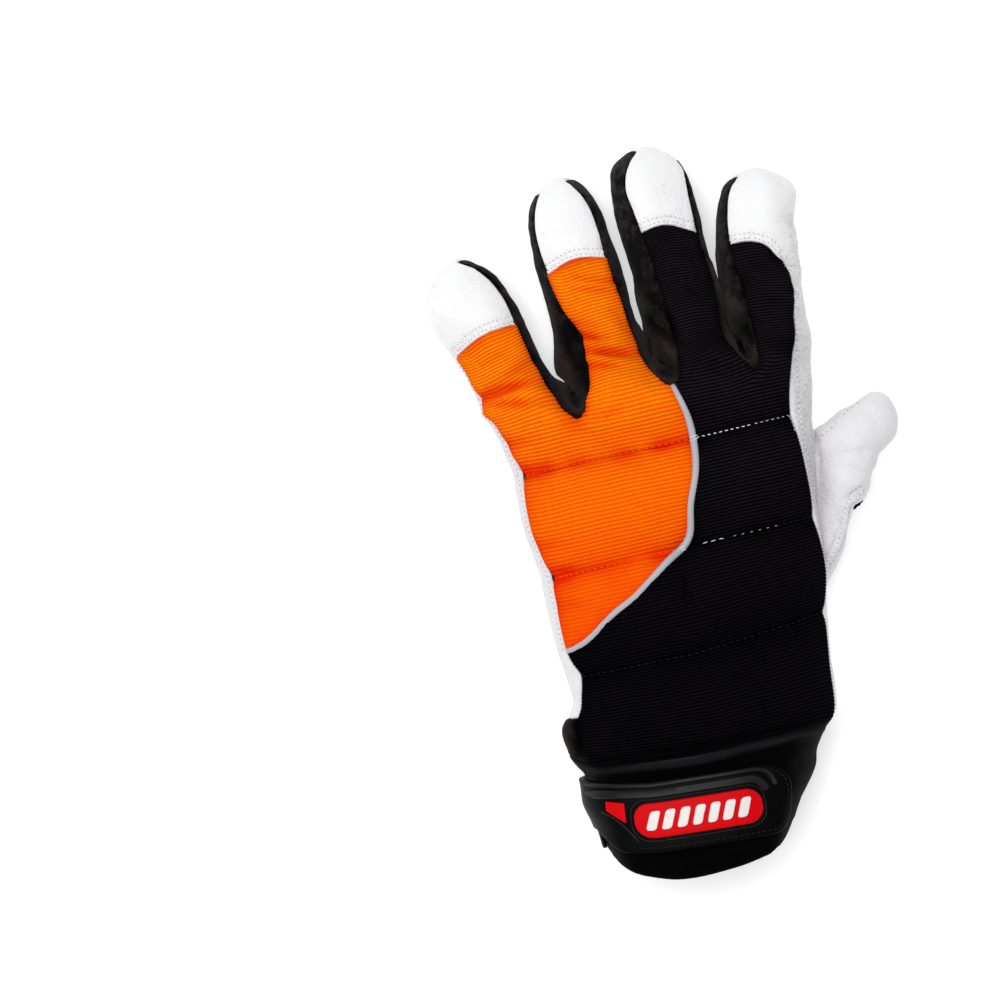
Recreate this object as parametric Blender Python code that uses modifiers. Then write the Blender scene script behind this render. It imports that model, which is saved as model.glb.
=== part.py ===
"""A left-hand work glove laid out palm down: padded knit back, leather palm, knit-lined fingers, cuff and strap.

The hand, fingers, thumb and cuff share one coarse cage. It is subdivided, and each panel of cloth or leather
is the part of that surface with its own thickness, sewn edge to edge with its neighbours.
+Y points to the fingertips, +X to the thumb and +Z out of the back of the hand.
"""
import math
from collections import namedtuple

import bpy
import bmesh
from mathutils import Matrix, Vector
from mathutils.bvhtree import BVHTree

MM = 0.001

# Driving sizes
FINGER_WIDTH = 28.0 * MM
FINGER_HEIGHT = 24.0 * MM
LITTLE_LENGTH = 61.7 * MM
RING_LENGTH = 80.3 * MM
MIDDLE_LENGTH = 84.3 * MM
INDEX_LENGTH = 69.3 * MM
PALM_LENGTH = 130.0 * MM
HAND_HEIGHT = 38.0 * MM
CUFF_LENGTH = 45.0 * MM
CUFF_HEIGHT = 42.0 * MM
THUMB_REACH = 31.0 * MM
THUMB_SPAN = 32.0 * MM
THUMB_HEIGHT = 26.0 * MM

# Walls
LEATHER = 1.2 * MM
PADDING = 3.0 * MM
PADDING_EDGE = 1.4 * MM
STRIP = 1.0 * MM
NEOPRENE = 2.5 * MM
PATCH = 1.0 * MM
SEAM_GAP = 0.32 * MM
SEAT_GAP = 0.3 * MM
WRAP_GAP = 0.6 * MM
REST_GAP = 0.2 * MM
BADGE_LIFT = 0.5 * MM

# Piping between the two knit panels of the back
PIPING_RADIUS = 1.35 * MM
PIPING_END_GAP = 2.6 * MM

# Strap, its plate, inlays and badge
STRAP_WIDTH = 25.0 * MM
STRAP_THICK = 2.2 * MM
STRAP_BACK = 80.5 * MM
STRAP_PALM = 67.0 * MM
STRAP_DRIFT = 6.0 * MM
STRAP_END_RADIUS = 9.0 * MM
WAIST_RADIUS = 4.0 * MM
RIDGE_HEIGHT = 0.9 * MM
RIDGE_WIDTH = 3.0 * MM
PLATE_LENGTH = 46.5 * MM
PLATE_WIDTH = 12.7 * MM
PLATE_THICK = 1.3 * MM
PLATE_MARGIN = 8.0 * MM
FLASH_SIZE = 7.0 * MM
FLASH_THICK = 0.6 * MM
BADGE_SIDE = 15.0 * MM
BADGE_THICK = 0.9 * MM
TAB_LENGTH = 11.0 * MM
TAB_WIDTH = 6.0 * MM
TAB_THICK = 1.2 * MM

SMOOTHING = 1
WRAP_SMOOTHING = 3
FIT_ROUNDS = 10
SLICE = 5.0 * MM
CROSS_SLICE = 9.0 * MM

# Heights over the surface that the glove lies on
PATCH_RISE = PATCH + SEAT_GAP
STRAP_RISE = WRAP_GAP + STRAP_THICK + SEAT_GAP + BADGE_THICK + BADGE_LIFT

# Rows across the hand, from the hem of the cuff to the knuckles. Lengths across the hand are shares of the
# finger width, and heights are shares of the hand's height. Lengths along the palm are shares of its length,
# and those along the cuff, below the wrist, are shares of the cuff's.
Row = namedtuple("Row", "name y_left y_mid y_right left seam_left mid seam_right right side_left side_right "
                        "top low_left low_right")
CUFF_ROWS = (
    Row("hem", -0.860, -1.005, -0.850, -1.66, -1.47, -0.50, 0.48, 0.70, -0.71, -0.70, 1.02, -0.80, -0.93),
    Row("cuff_low", -0.520, -0.560, -0.500, -1.76, -1.55, -0.46, 0.62, 0.87, -0.46, -0.46, 1.01, -0.50, -0.52),
    Row("cuff_mid", -0.310, -0.320, -0.280, -1.83, -1.62, -0.40, 0.72, 0.98, -0.30, -0.28, 0.98, -0.30, -0.30),
    Row("cuff_top", -0.085, -0.090, -0.065, -1.84, -1.64, -0.33, 0.95, 1.19, -0.10, -0.07, 0.94, -0.06, -0.06),
)
HAND_ROWS = (
    Row("wrist", -0.637, -0.645, -0.622, -1.98, -1.76, -0.21, 1.37, 1.40, -0.610, -0.600, 1.04, -0.610, -0.600),
    Row("wrist_puff", -0.515, -0.515, -0.500, -1.84, -1.78, -0.18, 1.44, 1.46, -0.515, -0.490, 1.10, -0.52, -0.50),
    Row("seam_three", -0.404, -0.385, -0.333, -1.89, -1.71, -0.16, 1.51, 1.53, -0.390, -0.290, 1.01, -0.39, -0.41),
    Row("low_puff", -0.329, -0.238, -0.208, -1.94, -1.83, -0.14, 1.59, 1.61, -0.280, -0.195, 1.06, -0.26, -0.23),
    Row("seam_two", -0.127, -0.096, -0.070, -2.01, -1.89, -0.07, 1.57, 1.65, -0.110, -0.070, 0.95, -0.11, -0.10),
    Row("mid_puff", 0.015, 0.054, 0.070, -2.08, -2.03, 0.115, 1.53, 1.69, 0.020, 0.050, 1.01, 0.02, 0.00),
    Row("seam_one", 0.165, 0.193, 0.215, -2.13, -2.05, 0.175, 1.48, 1.74, 0.160, 0.158, 0.88, 0.14, 0.10),
    Row("high_puff", 0.246, 0.277, 0.295, -2.18, -2.15, 0.125, 1.50, 1.80, 0.240, 0.260, 0.89, 0.24, 0.25),
)

# The seam of the thumb on the palm side, at the rows from seam_three to seam_one: the inner edge of the hole,
# and at both ends its corner, in shares of the finger width and of the palm's length.
SEW_INNER = {"seam_three": (0.86, -0.360), "low_puff": (0.70, -0.225), "seam_two": (0.72, -0.100),
             "mid_puff": (0.88, 0.025), "seam_one": (1.17, 0.098)}
SEW_CORNER = {"seam_three": (1.22, -0.390), "seam_one": (1.50, 0.130)}

# The piping runs from the little finger edge up to the row of seam two, across these places
PIPING_TURN = ((-1.83, -0.329), (-1.29, -0.282), (-0.79, -0.217), (-0.39, -0.152))

# Knuckle row on the back and on the palm side, from the little finger's outer edge to the index finger's.
# Every second place is the crotch between two fingers.
Knuckle = namedtuple("Knuckle", "x y top palm_x palm_y")
KNUCKLES = (
    Knuckle(-2.25, 0.310, 0.50, -1.95, 0.31),
    Knuckle(-1.76, 0.335, 0.80, -1.62, 0.33),
    Knuckle(-1.23, 0.292, 0.76, -1.14, 0.315),
    Knuckle(-0.62, 0.345, 0.86, -0.64, 0.36),
    Knuckle(0.03, 0.340, 0.79, -0.10, 0.340),
    Knuckle(0.52, 0.385, 0.86, 0.42, 0.38),
    Knuckle(1.09, 0.352, 0.74, 0.97, 0.352),
    Knuckle(1.33, 0.375, 0.82, 1.34, 0.37),
    Knuckle(1.57, 0.360, 0.66, 1.66, 0.35),
)
KNUCKLE_SIDES = ((-2.27, 0.31), (1.84, 0.35))
Crotch = namedtuple("Crotch", "x y height")
CROTCHES = (Crotch(-1.32, 0.385, 0.36), Crotch(-0.15, 0.425, 0.36), Crotch(0.90, 0.415, 0.36))

# Fingers: where the axis starts, how far it leans towards the thumb, and the sections along it. A section's
# place is a share of the finger's length, its outline and seams are shares of the finger's width from the
# axis, its top is a share of the finger's height. Bow moves the middle of the back and lag the seam on the
# thumb's side along the finger, in shares of its width.
Finger = namedtuple("Finger", "name x y lean length sections tip_height")
Section = namedtuple("Section", "along left seam_left seam_right right top bow lag")
FINGERS = (
    Finger("little", -1.82, 0.323, -18.4, LITTLE_LENGTH, (
        Section(0.15, -0.48, -0.475, 0.38, 0.47, 1.10, 0.00, 0.00),
        Section(0.32, -0.46, -0.455, 0.36, 0.49, 1.00, 0.00, 0.00),
        Section(0.50, -0.49, -0.485, 0.39, 0.51, 0.98, 0.09, 0.02),
        Section(0.68, -0.55, -0.53, 0.41, 0.48, 0.94, 0.00, 0.00),
        Section(0.84, -0.52, -0.47, 0.34, 0.40, 0.82, 0.00, 0.00),
        Section(0.94, -0.37, -0.31, 0.20, 0.26, 0.62, 0.00, 0.00)), 0.36),
    Finger("ring", -0.61, 0.338, -7.2, RING_LENGTH, (
        Section(0.11, -0.61, -0.36, 0.38, 0.45, 1.16, 0.00, 0.00),
        Section(0.27, -0.64, -0.37, 0.33, 0.43, 1.05, 0.00, 0.00),
        Section(0.44, -0.60, -0.44, 0.31, 0.45, 1.00, 0.00, 0.00),
        Section(0.61, -0.60, -0.49, 0.29, 0.45, 1.00, 0.10, 0.00),
        Section(0.76, -0.58, -0.50, 0.31, 0.43, 0.95, 0.00, 0.00),
        Section(0.88, -0.51, -0.44, 0.26, 0.38, 0.84, 0.00, 0.00),
        Section(0.96, -0.33, -0.28, 0.15, 0.26, 0.62, 0.00, 0.00)), 0.36),
    Finger("middle", 0.39, 0.362, -4.4, MIDDLE_LENGTH, (
        Section(0.11, -0.46, -0.20, 0.42, 0.46, 1.18, 0.00, 0.00),
        Section(0.28, -0.52, -0.22, 0.45, 0.50, 1.06, 0.00, 0.00),
        Section(0.46, -0.51, -0.24, 0.44, 0.49, 1.00, 0.00, 0.00),
        Section(0.64, -0.54, -0.30, 0.41, 0.48, 1.00, 0.03, -0.15),
        Section(0.78, -0.54, -0.32, 0.41, 0.47, 0.95, 0.00, 0.00),
        Section(0.90, -0.49, -0.32, 0.35, 0.40, 0.84, 0.00, 0.00),
        Section(0.965, -0.36, -0.24, 0.18, 0.25, 0.62, 0.00, 0.00)), 0.36),
    Finger("index", 1.34, 0.362, 3.3, INDEX_LENGTH, (
        Section(0.13, -0.42, -0.19, 0.28, 0.49, 1.12, 0.00, 0.00),
        Section(0.29, -0.50, -0.24, 0.30, 0.46, 1.04, 0.00, -0.04),
        Section(0.44, -0.53, -0.31, 0.30, 0.45, 1.00, 0.00, -0.16),
        Section(0.63, -0.55, -0.39, 0.22, 0.43, 1.00, -0.02, -0.26),
        Section(0.77, -0.51, -0.39, 0.25, 0.49, 0.95, 0.00, 0.00),
        Section(0.90, -0.44, -0.33, 0.27, 0.49, 0.82, 0.00, 0.00),
        Section(0.965, -0.29, -0.21, 0.20, 0.34, 0.60, 0.00, 0.00)), 0.36),
)
CAP_RINGS = {"little": 3, "ring": 4, "middle": 4, "index": 4}
BACK_OF = {"little": "back_orange", "ring": "back_orange", "middle": "back_black", "index": "back_black"}

# Thumb sections outwards from the hand. Each goes from its upper edge, towards the fingers, to its lower one:
# how far out, as shares of the thumb's reach, and how far along, as shares of its span. Under moves its
# underside outwards, in shares of the reach.
ThumbSection = namedtuple("ThumbSection", "upper_x upper_y lower_x lower_y under top bottom belly")
THUMB_SECTIONS = (
    ThumbSection(0.08, 0.61, 0.15, -0.80, -0.38, 0.80, 0.05, 0.44),
    ThumbSection(0.20, 0.70, 0.28, -0.46, -0.14, 0.95, 0.05, 0.44),
    ThumbSection(0.37, 0.83, 0.50, -0.15, 0.00, 1.00, 0.05, 0.45),
    ThumbSection(0.57, 0.92, 0.67, 0.12, 0.00, 0.96, 0.06, 0.46),
    ThumbSection(0.77, 0.97, 0.81, 0.30, 0.00, 0.87, 0.10, 0.46),
    ThumbSection(0.93, 0.91, 0.955, 0.44, 0.00, 0.74, 0.16, 0.46),
)
THUMB_TIP = ((1.0, 0.80), (1.02, 0.67), (1.0, 0.54))
THUMB_X = 1.68
THUMB_Y = 0.0

# The strap's lower edge where it narrows at the little finger's edge: shares of its width and half width
STRAP_WAIST = ((-0.56, -1.0), (-0.20, -0.44), (0.26, -0.44), (0.80, -1.0))

# Outline of the leather patch on the palm, from the wrist up the little finger's side and back down beside the
# thumb, in shares of the finger width and the palm's length
PATCH_OUTLINE = (
    (-1.63, -0.425), (-1.70, -0.10), (-1.84, 0.320), (-1.42, 0.360), (-1.29, 0.285), (-0.99, 0.285),
    (-0.88, 0.430), (-0.40, 0.440), (-0.24, 0.315), (0.02, 0.315), (0.15, 0.440), (0.66, 0.440),
    (0.80, 0.325), (1.46, 0.300), (1.46, 0.165), (1.02, 0.140), (0.68, 0.030), (0.52, -0.10),
    (0.46, -0.25), (0.36, -0.415),
)
PATCH_CORNER = 2.4 * MM
PATCH_GIVE = 0.25 * MM
PATCH_SLICE = 16.0 * MM

# Shape of a section: how square its top is, how high its widest place lies, and where its flat underside ends
SQUARENESS = 2.4
BELLY = 0.42
FLAT_PART = 0.84
FINGER_FLAT_PART = 0.70
CORNER_LIFT = 0.12
PALM_CORNER_LIFT = 0.08

Panel = namedtuple("Panel", "name wall colour roughness")
PANELS = (
    Panel("back_orange", PADDING, (0.95, 0.21, 0.01), 0.75),
    Panel("back_black", PADDING, (0.012, 0.011, 0.013), 0.8),
    Panel("palm", LEATHER, (0.82, 0.82, 0.83), 0.55),
    Panel("cap_little", LEATHER, (0.84, 0.84, 0.85), 0.55),
    Panel("cap_ring", LEATHER, (0.84, 0.84, 0.85), 0.55),
    Panel("cap_middle", LEATHER, (0.84, 0.84, 0.85), 0.55),
    Panel("cap_index", LEATHER, (0.84, 0.84, 0.85), 0.55),
    Panel("fourchette_little_ring", STRIP, (0.03, 0.027, 0.027), 0.95),
    Panel("fourchette_ring_middle", STRIP, (0.03, 0.027, 0.027), 0.95),
    Panel("fourchette_middle_index", STRIP, (0.03, 0.027, 0.027), 0.95),
    Panel("thumb", LEATHER, (0.82, 0.82, 0.83), 0.55),
    Panel("thumb_back", LEATHER, (0.015, 0.014, 0.016), 0.85),
    Panel("wrist_gusset", LEATHER, (0.015, 0.014, 0.015), 0.9),
    Panel("cuff", NEOPRENE, (0.008, 0.008, 0.009), 0.85),
)
PANEL_INDEX = {panel.name: index for index, panel in enumerate(PANELS)}
FOURCHETTES = ("fourchette_little_ring", "fourchette_ring_middle", "fourchette_middle_index")

WRIST_Y = -0.6385
ROW_NAMES = [row.name for row in CUFF_ROWS + HAND_ROWS] + ["knuckles"]
TOP_LAST = 8
RIGHT_SIDE = 9
LOW_FIRST = 10
LOW_LAST = 18
LEFT_SIDE = 19
AROUND = 20
MID = 4


def clear_scene():
    """Removes what the file opened with."""
    for item in list(bpy.data.objects):
        bpy.data.objects.remove(item, do_unlink=True)


def material(name, colour, roughness, metallic=0.0):
    """A plain Principled material."""
    made = bpy.data.materials.new(name)
    made.use_nodes = True
    shader = made.node_tree.nodes["Principled BSDF"]
    shader.inputs["Base Color"].default_value = (*colour, 1.0)
    shader.inputs["Roughness"].default_value = roughness
    shader.inputs["Metallic"].default_value = metallic
    return made


def add_object(name, mesh, colour, roughness, metallic=0.0):
    """Puts a mesh into the glove's collection under its own name and material."""
    made = bpy.data.objects.new(name, mesh)
    mesh.name = name
    mesh.materials.clear()
    mesh.materials.append(material(name, colour, roughness, metallic))
    glove.objects.link(made)
    return made


def mix(a, b, share):
    """The value a given share of the way from a to b."""
    return a + (b - a) * share


def ramp(x, places):
    """The value at x on straight runs between (x, value) places."""
    if x <= places[0][0]:
        return places[0][1]
    for (x0, v0), (x1, v1) in zip(places, places[1:]):
        if x <= x1:
            return mix(v0, v1, (x - x0) / (x1 - x0))
    return places[-1][1]


def ground(y):
    """How low the underside may lie at a place along the hand: over the patch, over the strap, or at rest."""
    cuff_y = WRIST_Y * PALM_LENGTH
    return ramp(y, (
        (cuff_y - CUFF_LENGTH, 0.75 * STRAP_RISE),
        (cuff_y - 0.80 * CUFF_LENGTH, STRAP_RISE),
        (cuff_y - 0.10 * CUFF_LENGTH, STRAP_RISE),
        (cuff_y + 0.19 * PALM_LENGTH, PATCH_RISE),
        (0.46 * PALM_LENGTH, PATCH_RISE),
        (0.54 * PALM_LENGTH, REST_GAP),
    ))


class Outline:
    """A section of the hand or a finger: a rounded top over a flatter underside."""

    def __init__(self, left, right, top, bottom, flat_part, belly=BELLY):
        self.centre = (left + right) / 2
        self.half = (right - left) / 2
        self.top = top
        self.bottom = bottom
        self.belly = mix(bottom, top, belly)
        self.flat_part = flat_part
        self.lift = PALM_CORNER_LIFT if flat_part == FLAT_PART else CORNER_LIFT

    def height(self, x):
        """Height of the top over a place across the section."""
        share = min(1.0, abs(x - self.centre) / self.half)
        return self.belly + (self.top - self.belly) * (1 - share ** SQUARENESS) ** (1 / SQUARENESS)

    def side(self, sign, seam):
        """The place between a seam on the top and the underside, lower where the seam lies at the very edge."""
        rise = (self.height(seam) - self.belly) / (0.3 * (self.top - self.belly))
        drop = 1 - min(1.0, rise)
        x = self.centre + sign * self.half * (1 - 0.04 * drop)
        return x, mix(self.belly, self.bottom, 0.5 * drop)

    def corner(self, sign):
        """The end of the flat underside."""
        x = self.centre + sign * self.half * self.flat_part
        return x, mix(self.bottom, self.belly, self.lift)


class Cage:
    """The coarse surface of the whole glove: named places, and faces between them with their panel."""

    def __init__(self):
        self.places = {}
        self.faces = []

    def put(self, key, x, y, z):
        self.places[key] = Vector((x, y, z))

    def face(self, panel, *keys):
        self.faces.append((panel, keys))

    def mesh(self, places):
        """The cage as a mesh, with each face's panel kept as its material index."""
        order = {key: index for index, key in enumerate(self.places)}
        made = bpy.data.meshes.new("cage")
        made.from_pydata(places, [], [[order[key] for key in keys] for _, keys in self.faces])
        for polygon, (panel, _) in zip(made.polygons, self.faces):
            polygon.material_index = PANEL_INDEX[panel]
        return made


def row_lengths(row):
    """A row's y values in metres, measured from the middle of the palm."""
    if row in CUFF_ROWS:
        return lambda share: WRIST_Y * PALM_LENGTH + share * CUFF_LENGTH
    return lambda share: share * PALM_LENGTH


def row_height(row):
    """The height unit of a row: the cuff's or the hand's."""
    return CUFF_HEIGHT if row in CUFF_ROWS else HAND_HEIGHT


def add_row(cage, row):
    """One row of places round the hand or the cuff."""
    y_at = row_lengths(row)
    w = FINGER_WIDTH
    low = ground(y_at((row.low_left + row.low_right) / 2))
    top = row.top * row_height(row)
    outline = Outline(row.left * w, row.right * w, top, low, FLAT_PART)
    for column in range(TOP_LAST + 1):
        if column <= MID:
            share = column / MID
            x = mix(row.seam_left, row.mid, share)
            y = mix(row.y_left, row.y_mid, share)
        else:
            share = (column - MID) / (TOP_LAST - MID)
            x = mix(row.mid, row.seam_right, share)
            y = mix(row.y_mid, row.y_right, share)
        if row.name == "low_puff" and column < MID:
            x, y = PIPING_TURN[column]
        if row.name == "hem":
            edge = abs(column - MID) / MID
            y = mix(row.y_mid, row.y_left if column < MID else row.y_right, edge ** 3)
        cage.put((row.name, column), x * w, y_at(y), outline.height(x * w))
    x, z = outline.side(1, row.seam_right * w)
    cage.put((row.name, RIGHT_SIDE), x, y_at(row.side_right), z)
    x, z = outline.side(-1, row.seam_left * w)
    cage.put((row.name, LEFT_SIDE), x, y_at(row.side_left), z)
    add_underside(cage, row, outline, y_at)


def add_underside(cage, row, outline, y_at):
    """The flat places of a row, from the thumb's side to the little finger's."""
    w = FINGER_WIDTH
    right_x, corner_z = outline.corner(1)
    left_x, _ = outline.corner(-1)
    right = Vector((right_x, y_at(row.low_right), 0))
    left = Vector((left_x, y_at(row.low_left), 0))
    inner = right.lerp(left, 1 / 8)
    if row.name in SEW_INNER:
        x, y = SEW_INNER[row.name]
        inner = Vector((x * w, y * PALM_LENGTH, 0))
    if row.name in SEW_CORNER:
        x, y = SEW_CORNER[row.name]
        right = Vector((x * w, y * PALM_LENGTH, 0))
    if row.name == "hem":
        middle_drop = 0.10 * CUFF_LENGTH
    else:
        middle_drop = 0.0
    cage.put((row.name, LOW_FIRST), right.x, right.y, corner_z)
    inner_column = LOW_FIRST + 1
    for column in range(inner_column, LOW_LAST + 1):
        share = (column - inner_column) / (LOW_LAST - inner_column)
        at = inner.lerp(left, share)
        z = corner_z if column == LOW_LAST else outline.bottom
        cage.put((row.name, column), at.x, at.y - middle_drop * math.sin(math.pi * share), z)


def add_knuckles(cage):
    """The last row of the hand, where the fingers start, and the crotches between them."""
    w = FINGER_WIDTH
    for column, knuckle in enumerate(KNUCKLES):
        cage.put(("knuckles", column), knuckle.x * w, knuckle.y * PALM_LENGTH, knuckle.top * HAND_HEIGHT)
    for column, knuckle in enumerate(KNUCKLES):
        low = PATCH_RISE
        if column % 2 == 0:
            low = mix(PATCH_RISE, HAND_HEIGHT, 0.06)
        cage.put(("knuckles", LOW_LAST - column), knuckle.palm_x * w, knuckle.palm_y * PALM_LENGTH, low)
    for column, (x, y) in zip((LEFT_SIDE, RIGHT_SIDE), KNUCKLE_SIDES):
        height = 0.30 if column == LEFT_SIDE else 0.38
        cage.put(("knuckles", column), x * w, y * PALM_LENGTH, height * HAND_HEIGHT)
    for number, crotch in enumerate(CROTCHES):
        cage.put(("crotch", number), crotch.x * w, crotch.y * PALM_LENGTH, crotch.height * HAND_HEIGHT)


def finger_root(number):
    """The eight places that a finger shares with the hand, from its left seam round over the top."""
    first = 2 * number
    right = ("crotch", number) if number < 3 else ("knuckles", RIGHT_SIDE)
    left = ("crotch", number - 1) if number > 0 else ("knuckles", LEFT_SIDE)
    top = [("knuckles", first + step) for step in range(3)]
    low = [("knuckles", LOW_LAST - first - step) for step in (2, 1, 0)]
    return top + [right] + low + [left]


def add_finger(cage, number):
    """The rings of one finger, its panels and its closed tip."""
    finger = FINGERS[number]
    w = FINGER_WIDTH
    lean = math.radians(finger.lean)
    axis = Vector((math.sin(lean), math.cos(lean), 0))
    across = Vector((math.cos(lean), -math.sin(lean), 0))
    base = Vector((finger.x * w, finger.y * PALM_LENGTH, 0))
    rings = [finger_root(number)]
    for count, section in enumerate(finger.sections, 1):
        centre = base + axis * (section.along * finger.length)
        low = ground(centre.y)
        outline = Outline(section.left * w, section.right * w, section.top * FINGER_HEIGHT, low, FINGER_FLAT_PART)
        if section.along > 0.9:
            outline.bottom = mix(low, outline.top, 0.12)
        middle = mix(section.seam_left, section.seam_right, 0.5) * w
        right_x, right_z = outline.side(1, section.seam_right * w)
        left_x, left_z = outline.side(-1, section.seam_left * w)
        low_right_x, corner_z = outline.corner(1)
        low_left_x, _ = outline.corner(-1)
        ring = (
            (section.seam_left * w, 0.0, outline.height(section.seam_left * w)),
            (middle, section.bow * w, outline.height(middle)),
            (section.seam_right * w, section.lag * w, outline.height(section.seam_right * w)),
            (right_x, section.lag * w * 0.5, right_z),
            (low_right_x, 0.0, corner_z),
            (outline.centre, 0.0, outline.bottom),
            (low_left_x, 0.0, corner_z),
            (left_x, 0.0, left_z),
        )
        keys = []
        for place, (sideways, forward, z) in enumerate(ring):
            at = centre + across * sideways + axis * forward
            keys.append((finger.name, count, place))
            cage.put(keys[-1], at.x, at.y, z)
        rings.append(keys)
    end = base + axis * finger.length
    tip = (finger.name, "tip")
    cage.put(tip, end.x, end.y, finger.tip_height * FINGER_HEIGHT)
    add_finger_faces(cage, number, rings, tip)


def add_finger_faces(cage, number, rings, tip):
    """Panels of one finger: back or cap on top, palm leather below, strips or palm leather at the sides."""
    name = FINGERS[number].name
    right = FOURCHETTES[number] if number < 3 else "palm"
    left = FOURCHETTES[number - 1] if number > 0 else "palm"
    cap = "cap_" + name
    for count, (near, far) in enumerate(zip(rings, rings[1:])):
        top = BACK_OF[name] if count < CAP_RINGS[name] else cap
        panels = (top, top, right, right, "palm", "palm", left, left)
        for place, panel in enumerate(panels):
            following = (place + 1) % 8
            cage.face(panel, near[place], near[following], far[following], far[place])
    last = rings[-1]
    cage.face(cap, last[0], last[1], tip, last[7])
    cage.face(cap, last[1], last[2], last[3], tip)
    cage.face("palm", tip, last[3], last[4], last[5])
    cage.face("palm", last[7], tip, last[5], last[6])


def hole_rows():
    """The rows along which the thumb is sewn in, from the wrist to the fingers."""
    first = ROW_NAMES.index("seam_three")
    last = ROW_NAMES.index("seam_one")
    return ROW_NAMES[first:last + 1]


def add_thumb(cage):
    """The thumb: rings of twelve places pulled out of the hole in the palm's side, and a closed tip."""
    rows = hole_rows()
    upper_chain = [(name, RIGHT_SIDE) for name in reversed(rows)]
    lower_chain = [(name, LOW_FIRST + 1) for name in rows]
    ring = upper_chain + [(rows[0], LOW_FIRST)] + lower_chain + [(rows[-1], LOW_FIRST)]
    rings = [ring]
    for count, section in enumerate(THUMB_SECTIONS, 1):
        upper = thumb_point(section.upper_x, section.upper_y)
        lower = thumb_point(section.lower_x, section.lower_y)
        top = section.top * THUMB_HEIGHT
        bottom = section.bottom * THUMB_HEIGHT
        belly = mix(bottom, top, section.belly)
        keys = []
        for place in range(12):
            keys.append(("thumb", count, place))
            if place < 5:
                angle = math.pi * (0.16 + 0.17 * place)
            elif place == 5:
                angle = math.pi * 1.03
            elif place < 11:
                angle = math.pi * (1.16 + 0.17 * (place - 6))
            else:
                angle = 0.0
            share = (1 - math.cos(angle)) / 2
            at = upper.lerp(lower, share)
            sine = math.sin(angle)
            reach = (top - belly) if sine > 0 else (belly - bottom)
            x = at.x + min(0.0, sine) ** 2 * section.under * THUMB_REACH
            cage.put(keys[-1], x, at.y, belly + reach * math.copysign(abs(sine) ** 0.8, sine))
        rings.append(keys)
    tips = []
    for number, (x, y) in enumerate(THUMB_TIP):
        at = thumb_point(x, y)
        tips.append(("thumb_tip", number))
        cage.put(tips[-1], at.x, at.y, THUMB_SECTIONS[-1].belly * THUMB_HEIGHT)
    for count, (near, far) in enumerate(zip(rings, rings[1:])):
        for place in range(12):
            following = (place + 1) % 12
            panel = "thumb_back" if place == 5 and count < len(THUMB_SECTIONS) - 1 else "thumb"
            cage.face(panel, near[place], near[following], far[following], far[place])
    last = rings[-1]
    chain = [last[11]] + tips + [last[5]]
    low = list(reversed(last[6:11]))
    for step in range(4):
        cage.face("thumb", last[step], last[step + 1], chain[step + 1], chain[step])
        cage.face("thumb", chain[step], chain[step + 1], low[step + 1], low[step])


def thumb_point(x, y):
    """A place of the thumb in the plan, from its shares."""
    return Vector((THUMB_X * FINGER_WIDTH + x * THUMB_REACH, THUMB_Y + y * THUMB_SPAN, 0))


def hand_panel(row, column):
    """The panel of the face between this row and the next, at this column."""
    level = ROW_NAMES.index(row)
    if level < ROW_NAMES.index("wrist"):
        return "cuff"
    if column < TOP_LAST:
        orange = level >= ROW_NAMES.index("seam_two") and column < MID
        return "back_orange" if orange else "back_black"
    if row == "wrist" and column >= LOW_LAST:
        return "wrist_gusset"
    return "palm"


def add_hand_faces(cage):
    """The faces between the rows, with the thumb's hole left open and the turn of the piping cut in."""
    hole = hole_rows()[:-1]
    for low, high in zip(ROW_NAMES, ROW_NAMES[1:]):
        for column in range(AROUND):
            following = (column + 1) % AROUND
            if low in hole and column in (RIGHT_SIDE, LOW_FIRST):
                continue
            corners = [(low, column), (low, following), (high, following), (high, column)]
            panel = hand_panel(low, column)
            if low == "low_puff" and column < MID:
                panel = "back_orange"
                if column == MID - 1:
                    corners.pop(1)
            if low == "seam_three" and column == MID - 1:
                corners.insert(3, ("seam_two", MID))
            cage.face(panel, *corners)


def subdivided(mesh, levels):
    """A subdivided copy of a mesh; its first vertices are those of the cage."""
    holder = bpy.data.objects.new("cage", mesh)
    bpy.context.scene.collection.objects.link(holder)
    smooth = holder.modifiers.new("smooth", "SUBSURF")
    smooth.levels = levels
    smooth.render_levels = levels
    bpy.context.view_layer.update()
    made = bpy.data.meshes.new_from_object(holder.evaluated_get(bpy.context.evaluated_depsgraph_get()))
    bpy.data.objects.remove(holder, do_unlink=True)
    return made


def fitted_places(cage, levels):
    """The cage pushed out until its smooth surface passes through the chosen places."""
    wanted = list(cage.places.values())
    places = [place.copy() for place in wanted]
    for _ in range(FIT_ROUNDS):
        smooth = subdivided(cage.mesh(places), levels)
        for index, target in enumerate(wanted):
            places[index] += (target - smooth.vertices[index].co) * 0.8
    return places


def smooth_surface(cage, places, levels):
    """The subdivided cage, kept off the ground that it lies on."""
    surface = subdivided(cage.mesh(places), levels)
    for vertex in surface.vertices:
        vertex.co.z = max(vertex.co.z, ground(vertex.co.y))
    surface.update()
    return surface


def surface_data(surface):
    """Points, outward normals, and the faces with their panel."""
    points = [vertex.co.copy() for vertex in surface.vertices]
    normals = [vertex.normal.copy() for vertex in surface.vertices]
    faces = [(tuple(polygon.vertices), polygon.material_index) for polygon in surface.polygons]
    return points, normals, faces


def edges_of(corners):
    """The directed edges of a face."""
    return list(zip(corners, corners[1:] + corners[:1]))


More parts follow.
